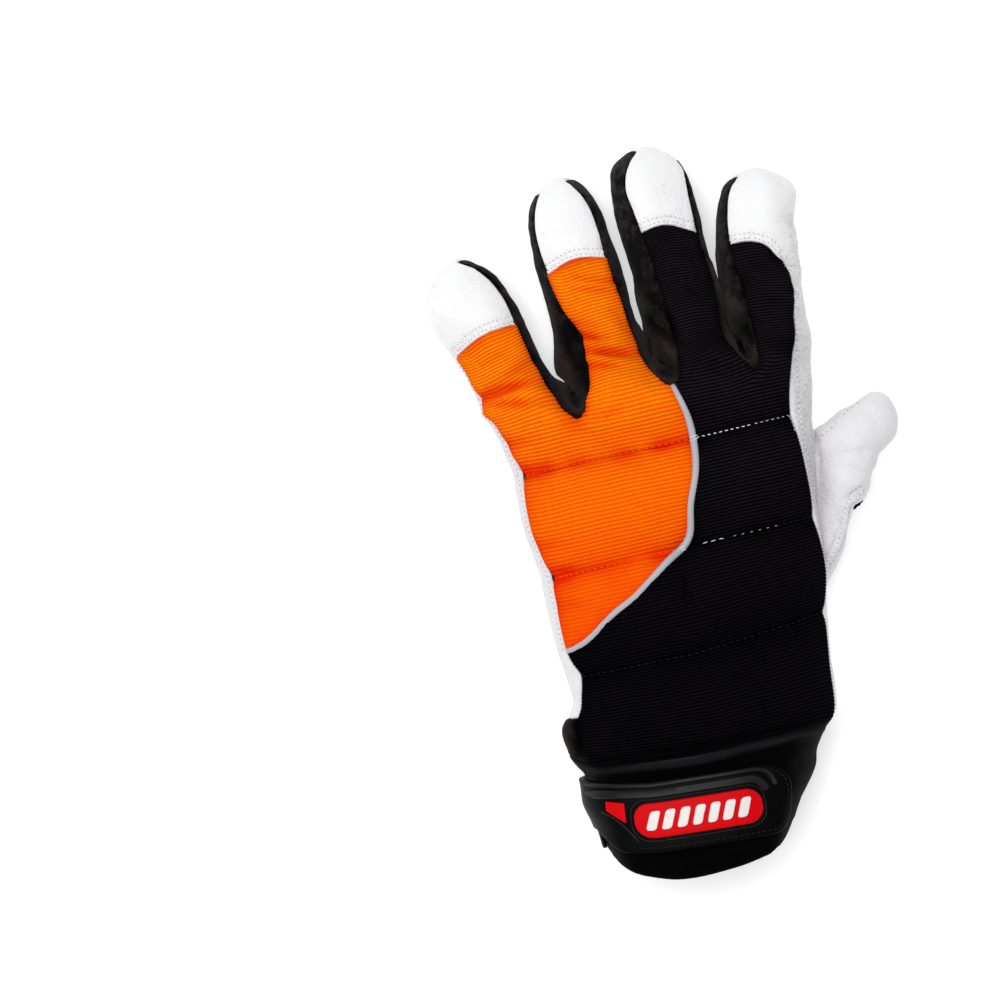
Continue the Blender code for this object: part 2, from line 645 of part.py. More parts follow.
def seam_offsets(points, faces, panel, all_edges):
    """How far each border place of a panel moves inwards, so that neighbours keep a gap and the piping fits."""
    inward = {}
    for corners, owner in faces:
        if owner != panel:
            continue
        normal = (points[corners[1]] - points[corners[0]]).cross(points[corners[-1]] - points[corners[0]])
        for a, b in edges_of(corners):
            other = all_edges.get((b, a))
            if other is None or other == panel:
                continue
            pair = {PANELS[panel].name, PANELS[other].name}
            width = SEAM_GAP / 2
            if pair == {"back_orange", "back_black"}:
                width = PIPING_RADIUS + SEAT_GAP
            into = normal.cross(points[b] - points[a]).normalized()
            inward.setdefault(a, []).append((into, width))
            inward.setdefault(b, []).append((into, width))
    return {vertex: corner_offset(sides) for vertex, sides in inward.items()}


def corner_offset(sides):
    """The step that clears both borders that meet at a place."""
    first, width = sides[0]
    if len(sides) == 1:
        return first * width
    second, other_width = sides[-1]
    cosine = max(-0.7, min(1.0, first.dot(second)))
    if cosine > 0.98:
        return (first * width + second * other_width) / 2
    spread = 1 - cosine * cosine
    return first * ((width - cosine * other_width) / spread) + second * ((other_width - cosine * width) / spread)


def panel_mesh(name, points, normals, faces, all_edges):
    """One panel as a closed wall: its outer face, its inner face and the rim between them."""
    panel = PANEL_INDEX[name]
    wall = PANELS[panel].wall
    offsets = seam_offsets(points, faces, panel, all_edges)
    made = bmesh.new()
    outer = {}
    inner = {}
    own = [corners for corners, owner in faces if owner == panel]
    beside_border = {vertex for corners in own if set(corners) & set(offsets) for vertex in corners}
    for vertex in sorted({vertex for corners in own for vertex in corners}):
        at = points[vertex] + offsets.get(vertex, Vector())
        depth = wall
        if wall > PADDING_EDGE and vertex in offsets:
            depth = PADDING_EDGE
        elif wall > PADDING_EDGE and vertex in beside_border:
            depth = (wall + PADDING_EDGE) / 2
        outer[vertex] = made.verts.new(at)
        inner[vertex] = made.verts.new(at - normals[vertex] * depth)
    inside_edges = {edge for corners in own for edge in edges_of(corners)}
    for corners in own:
        made.faces.new([outer[vertex] for vertex in corners])
        made.faces.new([inner[vertex] for vertex in reversed(corners)])
        for a, b in edges_of(corners):
            if (b, a) in inside_edges:
                continue
            if a < b:
                made.faces.new((outer[b], outer[a], inner[b]))
                made.faces.new((outer[a], inner[a], inner[b]))
            else:
                made.faces.new((outer[b], outer[a], inner[a]))
                made.faces.new((outer[b], inner[a], inner[b]))
    bmesh.ops.recalc_face_normals(made, faces=made.faces)
    mesh = bpy.data.meshes.new(name)
    made.to_mesh(mesh)
    made.free()
    mesh.shade_smooth()
    return mesh


def add_panels(points, normals, faces):
    """Every sewn panel of the glove."""
    all_edges = {}
    for corners, owner in faces:
        for edge in edges_of(corners):
            all_edges[edge] = owner
    for panel in PANELS:
        mesh = panel_mesh(panel.name, points, normals, faces, all_edges)
        add_object(panel.name, mesh, panel.colour, panel.roughness)


class Skin:
    """The outer surface of one panel, both as it is built and smoother, for pieces that lie on it."""

    def __init__(self, name, surfaces):
        panel = PANEL_INDEX[name]
        self.trees = []
        for points, faces in surfaces:
            own = [corners for corners, owner in faces if owner == panel]
            self.trees.append(BVHTree.FromPolygons(points, own))

    def place(self, starts, direction):
        """How far rays from outside get along the first of them before one meets the surface."""
        found = []
        for start in starts:
            for tree in self.trees:
                at = tree.ray_cast(start, direction)[0]
                if at is not None:
                    found.append((at - starts[0]).dot(direction))
        if not found:
            found = [(self.trees[0].find_nearest(starts[0])[0] - starts[0]).dot(direction)]
        return starts[0] + direction * min(found)


def add_patch(skin):
    """The second layer of leather, which lies on the palm and is what the hand rests on."""
    corners = [(x * FINGER_WIDTH, y * PALM_LENGTH) for x, y in PATCH_OUTLINE]
    shape = rounded(corners[::-1], [PATCH_CORNER] * len(corners), 2)
    made = sliced(flat_solid(shape, 0.0, PATCH), PATCH_SLICE, PATCH_SLICE)
    for vertex in made.verts:
        below = Vector((vertex.co.x, vertex.co.y, -HAND_HEIGHT))
        beside = Vector((PATCH_SLICE / 2, 0, 0))
        hit = skin.place((below, below - beside, below + beside), Vector((0, 0, 1)))
        vertex.co.z += max(0.0, hit.z - PATCH_RISE - PATCH_GIVE)
    bmesh.ops.recalc_face_normals(made, faces=made.faces)
    finish_mesh("palm_patch", made, (0.83, 0.83, 0.84), 0.55)


def piping_route(points, normals, faces):
    """The line between the two knit panels, from the little finger's edge up to the fingers."""
    orange = PANEL_INDEX["back_orange"]
    black = PANEL_INDEX["back_black"]
    black_edges = {edge for corners, owner in faces if owner == black for edge in edges_of(corners)}
    following = {}
    for corners, owner in faces:
        if owner != orange:
            continue
        for a, b in edges_of(corners):
            if (b, a) in black_edges:
                following[a] = b
    start = (set(following) - set(following.values())).pop()
    chain = [start]
    while chain[-1] in following:
        chain.append(following[chain[-1]])
    return [points[vertex] - normals[vertex] * (PIPING_RADIUS * 0.55) for vertex in chain]


def shortened(route, cut):
    """A route with a length cut off at both ends."""
    for _ in range(2):
        step = route[1] - route[0]
        while step.length < cut:
            route = route[1:]
            step = route[1] - route[0]
        route[0] = route[0] + step.normalized() * cut
        route = route[::-1]
    return route


def add_piping(points, normals, faces):
    """The round cord between the knit panels."""
    route = shortened(piping_route(points, normals, faces), PIPING_END_GAP)
    curve = bpy.data.curves.new("piping", "CURVE")
    curve.dimensions = "3D"
    curve.bevel_depth = PIPING_RADIUS
    curve.bevel_resolution = 1
    curve.use_fill_caps = True
    spline = curve.splines.new("POLY")
    spline.points.add(len(route) - 1)
    for point, at in zip(spline.points, route):
        point.co = (*at, 1.0)
    made = bpy.data.objects.new("piping", curve)
    curve.materials.append(material("piping", (0.35, 0.35, 0.37), 0.5))
    glove.objects.link(made)


def flat_solid(outline, low, high):
    """A closed solid from a flat outline, between two heights."""
    made = bmesh.new()
    base = [made.verts.new((x, y, low)) for x, y in outline]
    face = made.faces.new(base)
    lifted = bmesh.ops.extrude_face_region(made, geom=[face])
    raised = [item for item in lifted["geom"] if isinstance(item, bmesh.types.BMVert)]
    bmesh.ops.translate(made, verts=raised, vec=(0, 0, high - low))
    bmesh.ops.recalc_face_normals(made, faces=made.faces)
    return made


def sliced(made, step=SLICE, cross_step=CROSS_SLICE):
    """Cuts a flat solid along and across at even steps, so that it can bend."""
    for axis, length in ((0, step), (1, cross_step)):
        along = [vertex.co[axis] for vertex in made.verts]
        count = max(1, round((max(along) - min(along)) / length))
        normal = Vector((0, 0, 0))
        normal[axis] = 1.0
        for number in range(1, count):
            place = normal * mix(min(along), max(along), number / count)
            geometry = made.verts[:] + made.edges[:] + made.faces[:]
            bmesh.ops.bisect_plane(made, geom=geometry, plane_co=place, plane_no=normal, dist=1e-6)
    return made


def rounded(corners, radii, steps=4):
    """An outline with its corners rounded, each by its own radius."""
    made = []
    count = len(corners)
    for number, radius in enumerate(radii):
        at = Vector(corners[number])
        before = (Vector(corners[number - 1]) - at).normalized()
        after = (Vector(corners[(number + 1) % count]) - at).normalized()
        half = before.angle(after) / 2
        reach = radius / math.tan(half)
        centre = at + (before + after).normalized() * (radius / math.sin(half))
        start = at + before * reach - centre
        end = at + after * reach - centre
        turn = start.angle_signed(end)
        for step in range(steps + 1):
            arm = Matrix.Rotation(-turn * step / steps, 2) @ start
            made.append(tuple(centre + arm))
    return made


class Wrap:
    """Bends flat solids round the cuff: across from the little finger's edge, along, and out from its surface."""

    def __init__(self, skin):
        self.skin = skin
        rows = CUFF_ROWS[1:3]
        self.left = sum(row.left for row in rows) / len(rows) * FINGER_WIDTH
        self.right = sum(row.right for row in rows) / len(rows) * FINGER_WIDTH
        self.top = sum(row.top for row in rows) / len(rows) * CUFF_HEIGHT
        self.bottom = STRAP_RISE
        self.angles = self.measured_angles()

    def loop_point(self, angle):
        """A place on the cuff's mean section: angle 0 at the little finger's edge, growing over the back."""
        centre = (self.left + self.right) / 2
        half = (self.right - self.left) / 2
        belly = mix(self.bottom, self.top, BELLY)
        sine = math.sin(angle)
        reach = (self.top - belly) if sine > 0 else (belly - self.bottom)
        squareness = SQUARENESS if sine > 0 else 3.2
        x = centre - half * math.copysign(abs(math.cos(angle)) ** (2 / squareness), math.cos(angle))
        z = belly + reach * math.copysign(abs(sine) ** (2 / squareness), sine)
        return Vector((x, 0, z))

    def measured_angles(self):
        """Arc lengths along the mean section at small steps of the angle."""
        table = []
        for sign in (1, -1):
            length = 0.0
            last = self.loop_point(0)
            for step in range(1, 161):
                angle = sign * math.pi * step / 160
                at = self.loop_point(angle)
                length += (at - last).length
                table.append((sign * length, angle))
                last = at
        table.append((0.0, 0.0))
        return sorted(table)

    def place(self, u, v, out):
        """The place that lies u round the cuff, at v along it, and out from its surface."""
        angle = ramp(u, self.angles)
        guide = self.loop_point(angle)
        guide.y = v
        ahead = self.loop_point(angle + 0.05) - self.loop_point(angle - 0.05)
        outward = Vector((-ahead.z, 0, ahead.x)).normalized()
        beside = ahead.normalized() * (SLICE / 2)
        start = guide + outward * FINGER_WIDTH
        hit = self.skin.place((start, start - beside, start + beside), -outward)
        return hit + outward * out

    def bend(self, made):
        """Bends a whole flat solid."""
        middle = WRIST_Y * PALM_LENGTH - 0.43 * CUFF_LENGTH
        drift = ((-STRAP_PALM, 0.60), (0.0, 0.22), (0.4 * STRAP_BACK, -0.40))
        for vertex in made.verts:
            u, v, out = vertex.co
            vertex.co = self.place(u, middle + v + STRAP_DRIFT * ramp(u, drift), out)
        bmesh.ops.recalc_face_normals(made, faces=made.faces)
        return made


def finish_mesh(name, made, colour, roughness, metallic=0.0):
    """Turns a worked bmesh into a named object."""
    mesh = bpy.data.meshes.new(name)
    made.to_mesh(mesh)
    made.free()
    mesh.shade_smooth()
    mesh.set_sharp_from_angle(angle=math.radians(35))
    return add_object(name, mesh, colour, roughness, metallic)


def moved(outline, u, v=0.0):
    """An outline moved to its place on the strap, whose middle line is v = 0."""
    return [(x + u, y + v) for x, y in outline]


def box_outline(length, width):
    """A rectangle about the origin."""
    return [(-length / 2, -width / 2), (length / 2, -width / 2), (length / 2, width / 2), (-length / 2, width / 2)]


def add_strap(wrap):
    """The moulded strap with its plate, ridge, inlays and badge."""
    low = WRAP_GAP
    top = low + STRAP_THICK
    seat = top + SEAT_GAP
    half = STRAP_WIDTH / 2
    ends = ((-STRAP_PALM, half), (-STRAP_PALM, -half))
    waist = [(u * STRAP_WIDTH, v * half) for u, v in STRAP_WAIST]
    corners = [*ends, *waist, (STRAP_BACK, -half), (STRAP_BACK, half)]
    radii = [STRAP_END_RADIUS] * 2 + [WAIST_RADIUS] * len(waist) + [STRAP_END_RADIUS] * 2
    strap = sliced(flat_solid(rounded(corners, radii, 3), low, top))
    finish_mesh("strap", wrap.bend(strap), (0.02, 0.02, 0.022), 0.45)

    plate_u = STRAP_BACK - PLATE_MARGIN - PLATE_LENGTH / 2
    plate_shape = rounded(box_outline(PLATE_LENGTH, PLATE_WIDTH), [0.44 * PLATE_WIDTH] * 4)
    plate = sliced(flat_solid(moved(plate_shape, plate_u, -0.04 * STRAP_WIDTH), seat, seat + PLATE_THICK))
    finish_mesh("strap_plate", wrap.bend(plate), (0.72, 0.01, 0.03), 0.35)

    ridge_length = 1.30 * PLATE_LENGTH
    bar = rounded(box_outline(ridge_length, RIDGE_WIDTH), [0.45 * RIDGE_WIDTH] * 4, 2)
    ridge_v = 0.5 * STRAP_WIDTH - 1.4 * RIDGE_WIDTH
    ridge = flat_solid(moved(bar, plate_u - 0.1 * PLATE_LENGTH, ridge_v), seat, seat + RIDGE_HEIGHT)
    finish_mesh("strap_ridge", wrap.bend(sliced(ridge)), (0.05, 0.05, 0.053), 0.4)

    size = FLASH_SIZE
    back_u = plate_u - PLATE_LENGTH / 2 - 1.45 * size
    for name, u, sign in (("strap_flash_back", back_u, 1), ("strap_flash_palm", -0.9 * size, -1)):
        corners = ((0, 0.45 * size), (0, -0.05 * size), (size, -0.75 * size), (size, 0.35 * size))
        shape = moved([(sign * x, y) for x, y in corners], u, 0.12 * STRAP_WIDTH)
        flash = sliced(flat_solid(shape, seat, seat + FLASH_THICK), size / 3)
        finish_mesh(name, wrap.bend(flash), (0.72, 0.01, 0.03), 0.4)

    tab_shape = rounded(box_outline(TAB_LENGTH, TAB_WIDTH), [0.3 * TAB_WIDTH] * 4, 2)
    tab = flat_solid(moved(tab_shape, 0.05 * STRAP_WIDTH, STRAP_WAIST[1][1] * half - 0.5 * TAB_WIDTH - WAIST_RADIUS / 4),
                     low, low + TAB_THICK)
    finish_mesh("side_tab", wrap.bend(sliced(tab)), (0.02, 0.02, 0.02), 0.9)

    badge_u = 1.22 * BADGE_SIDE - STRAP_PALM
    badge = sliced(flat_solid(moved(hexagon(BADGE_SIDE), badge_u), seat, seat + BADGE_THICK))
    finish_mesh("palm_badge", wrap.bend(badge), (0.86, 0.66, 0.44), 0.5)


def hexagon(side):
    """A regular hexagon with two flats across the strap."""
    return [(side * math.cos(math.pi * (0.5 + n / 3)), side * math.sin(math.pi * (0.5 + n / 3))) for n in range(6)]


def centred(pieces):
    """Moves the pieces together, so that the origin lies under the middle of the glove's box."""
    corners = [vertex.co for piece in pieces if piece.type == "MESH" for vertex in piece.data.vertices]
    low = [min(corner[axis] for corner in corners) for axis in range(3)]
    high = [max(corner[axis] for corner in corners) for axis in range(3)]
    shift = Matrix.Translation((-(low[0] + high[0]) / 2, -(low[1] + high[1]) / 2, -low[2]))
    for piece in pieces:
        piece.data.transform(shift)


clear_scene()
glove = bpy.data.collections.new("work_glove")
bpy.context.scene.collection.children.link(glove)

cage = Cage()
for row in CUFF_ROWS + HAND_ROWS:
    add_row(cage, row)
add_knuckles(cage)
add_hand_faces(cage)
for number in range(len(FINGERS)):
    add_finger(cage, number)
add_thumb(cage)

places = fitted_places(cage, SMOOTHING)
points, normals, faces = surface_data(smooth_surface(cage, places, SMOOTHING))
add_panels(points, normals, faces)
add_piping(points, normals, faces)
fine_points, _, fine_faces = surface_data(smooth_surface(cage, places, WRAP_SMOOTHING))
surfaces = ((points, faces), (fine_points, fine_faces))
add_patch(Skin("palm", surfaces))
add_strap(Wrap(Skin("cuff", surfaces)))
centred(glove.objects)
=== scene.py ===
"""The looks of a left-hand work glove, laid out palm down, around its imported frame."""

import math
from collections import namedtuple

import bpy
import bmesh
import numpy as np
from mathutils import Matrix, Vector, noise
from mathutils.bvhtree import BVHTree
from mathutils.kdtree import KDTree


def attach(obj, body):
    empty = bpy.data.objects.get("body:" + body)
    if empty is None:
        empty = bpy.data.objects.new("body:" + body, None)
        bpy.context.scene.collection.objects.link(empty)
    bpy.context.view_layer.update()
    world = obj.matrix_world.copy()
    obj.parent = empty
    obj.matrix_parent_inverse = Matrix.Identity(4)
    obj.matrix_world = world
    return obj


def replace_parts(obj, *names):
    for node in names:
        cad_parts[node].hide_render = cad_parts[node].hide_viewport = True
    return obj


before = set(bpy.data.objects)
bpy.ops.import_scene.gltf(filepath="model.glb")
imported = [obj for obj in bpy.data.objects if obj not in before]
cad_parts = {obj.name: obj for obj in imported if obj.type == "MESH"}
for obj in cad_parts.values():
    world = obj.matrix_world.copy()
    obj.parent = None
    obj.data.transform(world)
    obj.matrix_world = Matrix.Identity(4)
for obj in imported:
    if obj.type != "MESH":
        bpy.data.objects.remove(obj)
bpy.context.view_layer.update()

MM = 0.001

# Driving sizes, as in the CAD
FINGER_WIDTH = 28.0 * MM
FINGER_HEIGHT = 24.0 * MM
LITTLE_LENGTH = 61.7 * MM
RING_LENGTH = 80.3 * MM
MIDDLE_LENGTH = 84.3 * MM
INDEX_LENGTH = 69.3 * MM
PALM_LENGTH = 130.0 * MM
HAND_HEIGHT = 38.0 * MM
CUFF_LENGTH = 45.0 * MM
CUFF_HEIGHT = 42.0 * MM
THUMB_REACH = 31.0 * MM
THUMB_SPAN = 32.0 * MM
THUMB_HEIGHT = 26.0 * MM

# Leather patch, gaps and piping
PATCH = 1.0 * MM
SEAT_GAP = 0.3 * MM
WRAP_GAP = 0.6 * MM
REST_GAP = 0.2 * MM
BADGE_LIFT = 0.5 * MM
PIPING_RADIUS = 1.35 * MM
PIPING_END_GAP = 2.6 * MM
CORD_RADIUS = PIPING_RADIUS * 0.98

# Strap, its plate, inlays, badge and tab
STRAP_WIDTH = 25.0 * MM
STRAP_THICK = 2.2 * MM
STRAP_BACK = 80.5 * MM
STRAP_PALM = 67.0 * MM
STRAP_DRIFT = 6.0 * MM
STRAP_END_RADIUS = 9.0 * MM
WAIST_RADIUS = 4.0 * MM
RIDGE_HEIGHT = 0.9 * MM
RIDGE_WIDTH = 3.0 * MM
PLATE_LENGTH = 46.5 * MM
PLATE_WIDTH = 12.7 * MM
PLATE_THICK = 1.3 * MM
PLATE_MARGIN = 8.0 * MM
FLASH_SIZE = 7.0 * MM
FLASH_THICK = 0.6 * MM
BADGE_SIDE = 15.0 * MM
BADGE_THICK = 0.9 * MM
TAB_LENGTH = 11.0 * MM
TAB_WIDTH = 6.0 * MM
TAB_THICK = 1.2 * MM

# Heights over the surface that the glove lies on
PATCH_RISE = PATCH + SEAT_GAP
STRAP_RISE = WRAP_GAP + STRAP_THICK + SEAT_GAP + BADGE_THICK + BADGE_LIFT

# Columns of the places round the hand: over the back, the thumb's side, the underside, and the little
# finger's side; MID is the middle of the back
TOP_LAST = 8
RIGHT_SIDE = 9
LOW_FIRST = 10
LOW_LAST = 18
LEFT_SIDE = 19
AROUND = 20
MID = 4

# Rows across the hand, from the hem of the cuff to the knuckles. Lengths across the hand are shares of the
# finger width, and heights are shares of the hand's height. Lengths along the palm are shares of its length,
# and those along the cuff, below the wrist, are shares of the cuff's.
Row = namedtuple("Row", "name y_left y_mid y_right left seam_left mid seam_right right side_left side_right "
                        "top low_left low_right")
CUFF_ROWS = [Row(*row) for row in (
    ("hem", -0.86, -1.005, -0.85, -1.66, -1.47, -0.5, 0.48, 0.7, -0.71, -0.7, 1.02, -0.8, -0.93),
    ("cuff_low", -0.52, -0.56, -0.5, -1.76, -1.55, -0.46, 0.62, 0.87, -0.46, -0.46, 1.01, -0.5, -0.52),
    ("cuff_mid", -0.31, -0.32, -0.28, -1.83, -1.62, -0.4, 0.72, 0.98, -0.3, -0.28, 0.98, -0.3, -0.3),
    ("cuff_top", -0.085, -0.09, -0.065, -1.84, -1.64, -0.33, 0.95, 1.19, -0.1, -0.07, 0.94, -0.06, -0.06),
)]
HAND_ROWS = [Row(*row) for row in (
    ("wrist", -0.637, -0.645, -0.622, -1.98, -1.76, -0.21, 1.37, 1.4, -0.61, -0.6, 1.04, -0.61, -0.6),
    ("wrist_puff", -0.515, -0.515, -0.5, -1.84, -1.78, -0.18, 1.44, 1.46, -0.515, -0.49, 1.1, -0.52, -0.5),
    ("seam_three", -0.404, -0.385, -0.333, -1.89, -1.71, -0.16, 1.51, 1.53, -0.39, -0.29, 1.01, -0.39, -0.41),
    ("low_puff", -0.329, -0.238, -0.208, -1.94, -1.83, -0.14, 1.59, 1.61, -0.28, -0.195, 1.06, -0.26, -0.23),
    ("seam_two", -0.127, -0.096, -0.07, -2.01, -1.89, -0.07, 1.57, 1.65, -0.11, -0.07, 0.95, -0.11, -0.1),
    ("mid_puff", 0.015, 0.054, 0.07, -2.08, -2.03, 0.115, 1.53, 1.69, 0.02, 0.05, 1.01, 0.02, 0),
    ("seam_one", 0.165, 0.193, 0.215, -2.13, -2.05, 0.175, 1.48, 1.74, 0.16, 0.158, 0.88, 0.14, 0.1),
    ("high_puff", 0.246, 0.277, 0.295, -2.18, -2.15, 0.125, 1.5, 1.8, 0.24, 0.26, 0.89, 0.24, 0.25),
)]
ROW_NAMES = [row.name for row in CUFF_ROWS + HAND_ROWS] + ["knuckles"]

# Where the thumb is sewn in on the palm side: the inner edge of the hole, and its corner at both ends, in
# shares of the finger width and of the palm's length
SEW_INNER = {"seam_three": (0.86, -0.36), "low_puff": (0.7, -0.225), "seam_two": (0.72, -0.1),
             "mid_puff": (0.88, 0.025), "seam_one": (1.17, 0.098)}
SEW_CORNER = {"seam_three": (1.22, -0.39), "seam_one": (1.5, 0.13)}
HOLE_ROWS = list(SEW_INNER)

# The piping runs from the little finger edge up to the row of seam two, across these places
PIPING_TURN = ((-1.83, -0.329), (-1.29, -0.282), (-0.79, -0.217), (-0.39, -0.152))

# Knuckle row on the back and on the palm side, from the little finger's outer edge to the index finger's.
# Every second place is the crotch between two fingers.
KNUCKLES = (
    (-2.25, 0.31, 0.5, -1.95, 0.31), (-1.76, 0.335, 0.8, -1.62, 0.33), (-1.23, 0.292, 0.76, -1.14, 0.315),
    (-0.62, 0.345, 0.86, -0.64, 0.36), (0.03, 0.34, 0.79, -0.1, 0.34), (0.52, 0.385, 0.86, 0.42, 0.38),
    (1.09, 0.352, 0.74, 0.97, 0.352), (1.33, 0.375, 0.82, 1.34, 0.37), (1.57, 0.36, 0.66, 1.66, 0.35),
)
KNUCKLE_SIDES = ((LEFT_SIDE, -2.27, 0.31, 0.3), (RIGHT_SIDE, 1.84, 0.35, 0.38))
CROTCHES = ((-1.32, 0.385, 0.36), (-0.15, 0.425, 0.36), (0.9, 0.415, 0.36))

# Fingers: where the axis starts, how far it leans towards the thumb, and the sections along it. A section's
# place is a share of the finger's length, its outline and seams are shares of the finger's width from the
# axis, its top is a share of the finger's height. Bow moves the middle of the back and lag the seam on the
# thumb's side along the finger, in shares of its width.
Finger = namedtuple("Finger", "name x y lean length sections")
Section = namedtuple("Section", "along left seam_left seam_right right top bow lag", defaults=(0, 0))
FINGERS = [Finger(*finger, [Section(*section) for section in sections]) for *finger, sections in (
    ("little", -1.82, 0.323, -18.4, LITTLE_LENGTH, (
        (0.15, -0.48, -0.475, 0.38, 0.47, 1.1),
        (0.32, -0.46, -0.455, 0.36, 0.49, 1),
        (0.5, -0.49, -0.485, 0.39, 0.51, 0.98, 0.09, 0.02),
        (0.68, -0.55, -0.53, 0.41, 0.48, 0.94),
        (0.84, -0.52, -0.47, 0.34, 0.4, 0.82),
        (0.94, -0.37, -0.31, 0.2, 0.26, 0.62))),
    ("ring", -0.61, 0.338, -7.2, RING_LENGTH, (
        (0.11, -0.61, -0.36, 0.38, 0.45, 1.16),
        (0.27, -0.64, -0.37, 0.33, 0.43, 1.05),
        (0.44, -0.6, -0.44, 0.31, 0.45, 1),
        (0.61, -0.6, -0.49, 0.29, 0.45, 1, 0.1, 0),
        (0.76, -0.58, -0.5, 0.31, 0.43, 0.95),
        (0.88, -0.51, -0.44, 0.26, 0.38, 0.84),
        (0.96, -0.33, -0.28, 0.15, 0.26, 0.62))),
    ("middle", 0.39, 0.362, -4.4, MIDDLE_LENGTH, (
        (0.11, -0.46, -0.2, 0.42, 0.46, 1.18),
        (0.28, -0.52, -0.22, 0.45, 0.5, 1.06),
        (0.46, -0.51, -0.24, 0.44, 0.49, 1),
        (0.64, -0.54, -0.3, 0.41, 0.48, 1, 0.03, -0.15),
        (0.78, -0.54, -0.32, 0.41, 0.47, 0.95),
        (0.9, -0.49, -0.32, 0.35, 0.4, 0.84),
        (0.965, -0.36, -0.24, 0.18, 0.25, 0.62))),
    ("index", 1.34, 0.362, 3.3, INDEX_LENGTH, (
        (0.13, -0.42, -0.19, 0.28, 0.49, 1.12),
        (0.29, -0.5, -0.24, 0.3, 0.46, 1.04, 0, -0.04),
        (0.44, -0.53, -0.31, 0.3, 0.45, 1, 0, -0.16),
        (0.63, -0.55, -0.39, 0.22, 0.43, 1, -0.02, -0.26),
        (0.77, -0.51, -0.39, 0.25, 0.49, 0.95),
        (0.9, -0.44, -0.33, 0.27, 0.49, 0.82),
        (0.965, -0.29, -0.21, 0.2, 0.34, 0.6))),
)]
TIP_HEIGHT = 0.36
CAP_RINGS = {"little": 3, "ring": 4, "middle": 4, "index": 4}
BACK_OF = {"little": "back_orange", "ring": "back_orange", "middle": "back_black", "index": "back_black"}
FOURCHETTES = ("fourchette_little_ring", "fourchette_ring_middle", "fourchette_middle_index")

# Thumb sections outwards from the hand. Each goes from its upper edge, towards the fingers, to its lower one:
# how far out, as shares of the thumb's reach, and how far along, as shares of its span. Under moves its
# underside outwards, in shares of the reach.
ThumbSection = namedtuple("ThumbSection", "upper_x upper_y lower_x lower_y under top bottom belly")
THUMB_SECTIONS = [ThumbSection(*section) for section in (
    (0.08, 0.61, 0.15, -0.8, -0.38, 0.8, 0.05, 0.44),
    (0.2, 0.7, 0.28, -0.46, -0.14, 0.95, 0.05, 0.44),
    (0.37, 0.83, 0.5, -0.15, 0, 1, 0.05, 0.45),
    (0.57, 0.92, 0.67, 0.12, 0, 0.96, 0.06, 0.46),
    (0.77, 0.97, 0.81, 0.3, 0, 0.87, 0.1, 0.46),
    (0.93, 0.91, 0.955, 0.44, 0, 0.74, 0.16, 0.46),
)]
THUMB_TIP = ((1, 0.8), (1.02, 0.67), (1, 0.54))
THUMB_X = 1.68
THUMB_AROUND = 12

# The strap's lower edge where it narrows at the little finger's edge: shares of its width and half width
STRAP_WAIST = ((-0.56, -1), (-0.2, -0.44), (0.26, -0.44), (0.8, -1))

# Outline of the leather patch on the palm, from the wrist up the little finger's side and back down beside
# the thumb, in shares of the finger width and the palm's length
PATCH_OUTLINE = (
    (-1.63, -0.425), (-1.7, -0.1), (-1.84, 0.32), (-1.42, 0.36), (-1.29, 0.285), (-0.99, 0.285),
    (-0.88, 0.43), (-0.4, 0.44), (-0.24, 0.315), (0.02, 0.315), (0.15, 0.44), (0.66, 0.44), (0.8, 0.325),
    (1.46, 0.3), (1.46, 0.165), (1.02, 0.14), (0.68, 0.03), (0.52, -0.1), (0.46, -0.25), (0.36, -0.415),
)
PATCH_CORNER = 2.4 * MM

# Shape of a section: how square its top is and how high its widest place lies; and for the hand and a finger,
# where the flat underside ends and how far its ends are lifted
SQUARENESS = 2.4
BELLY = 0.42
HAND_SHAPE = (0.84, 0.08)
FINGER_SHAPE = (0.7, 0.12)

CUFF_Y = -0.6385 * PALM_LENGTH
GROUND = (
    (CUFF_Y - CUFF_LENGTH, 0.75 * STRAP_RISE), (CUFF_Y - 0.8 * CUFF_LENGTH, STRAP_RISE),
    (CUFF_Y - 0.1 * CUFF_LENGTH, STRAP_RISE), (CUFF_Y + 0.19 * PALM_LENGTH, PATCH_RISE),
    (0.46 * PALM_LENGTH, PATCH_RISE), (0.54 * PALM_LENGTH, REST_GAP),
)

# The coarse surface of the whole glove: named places, and faces between them with their panel
spots = {}
cage = []


def mix(a, b, share):
    """The value a given share of the way from a to b."""
    return a + (b - a) * share


def ramp(x, places):
    """The value at x on straight runs between (x, value) places."""
    if x <= places[0][0]:
        return places[0][1]
    for (x0, v0), (x1, v1) in zip(places, places[1:]):
        if x <= x1:
            return mix(v0, v1, (x - x0) / (x1 - x0))
    return places[-1][1]


class Outline:
    """A section of the hand or a finger: a rounded top over a flatter underside."""

    def __init__(self, left, right, top, bottom, flat_part, lift):
        self.centre = (left + right) / 2
        self.half = (right - left) / 2
        self.top = top
        self.bottom = bottom
        self.belly = mix(bottom, top, BELLY)
        self.flat_part = flat_part
        self.lift = lift

    def height(self, x):
        """Height of the top over a place across the section."""
        share = min(1.0, abs(x - self.centre) / self.half)
        return self.belly + (self.top - self.belly) * (1 - share ** SQUARENESS) ** (1 / SQUARENESS)

    def side(self, sign, seam):
        """The place between a seam on the top and the underside, lower where the seam lies at the edge."""
        rise = (self.height(seam) - self.belly) / (0.3 * (self.top - self.belly))
        drop = 1 - min(1.0, rise)
        return self.centre + sign * self.half * (1 - 0.04 * drop), mix(self.belly, self.bottom, 0.5 * drop)

    def corner(self, sign):
        """The end of the flat underside."""
        return self.centre + sign * self.half * self.flat_part, mix(self.bottom, self.belly, self.lift)


def in_plan(x, y, height=0.0):
    """A place given in shares of the finger width and of the palm's length."""
    return Vector((x * FINGER_WIDTH, y * PALM_LENGTH, height))


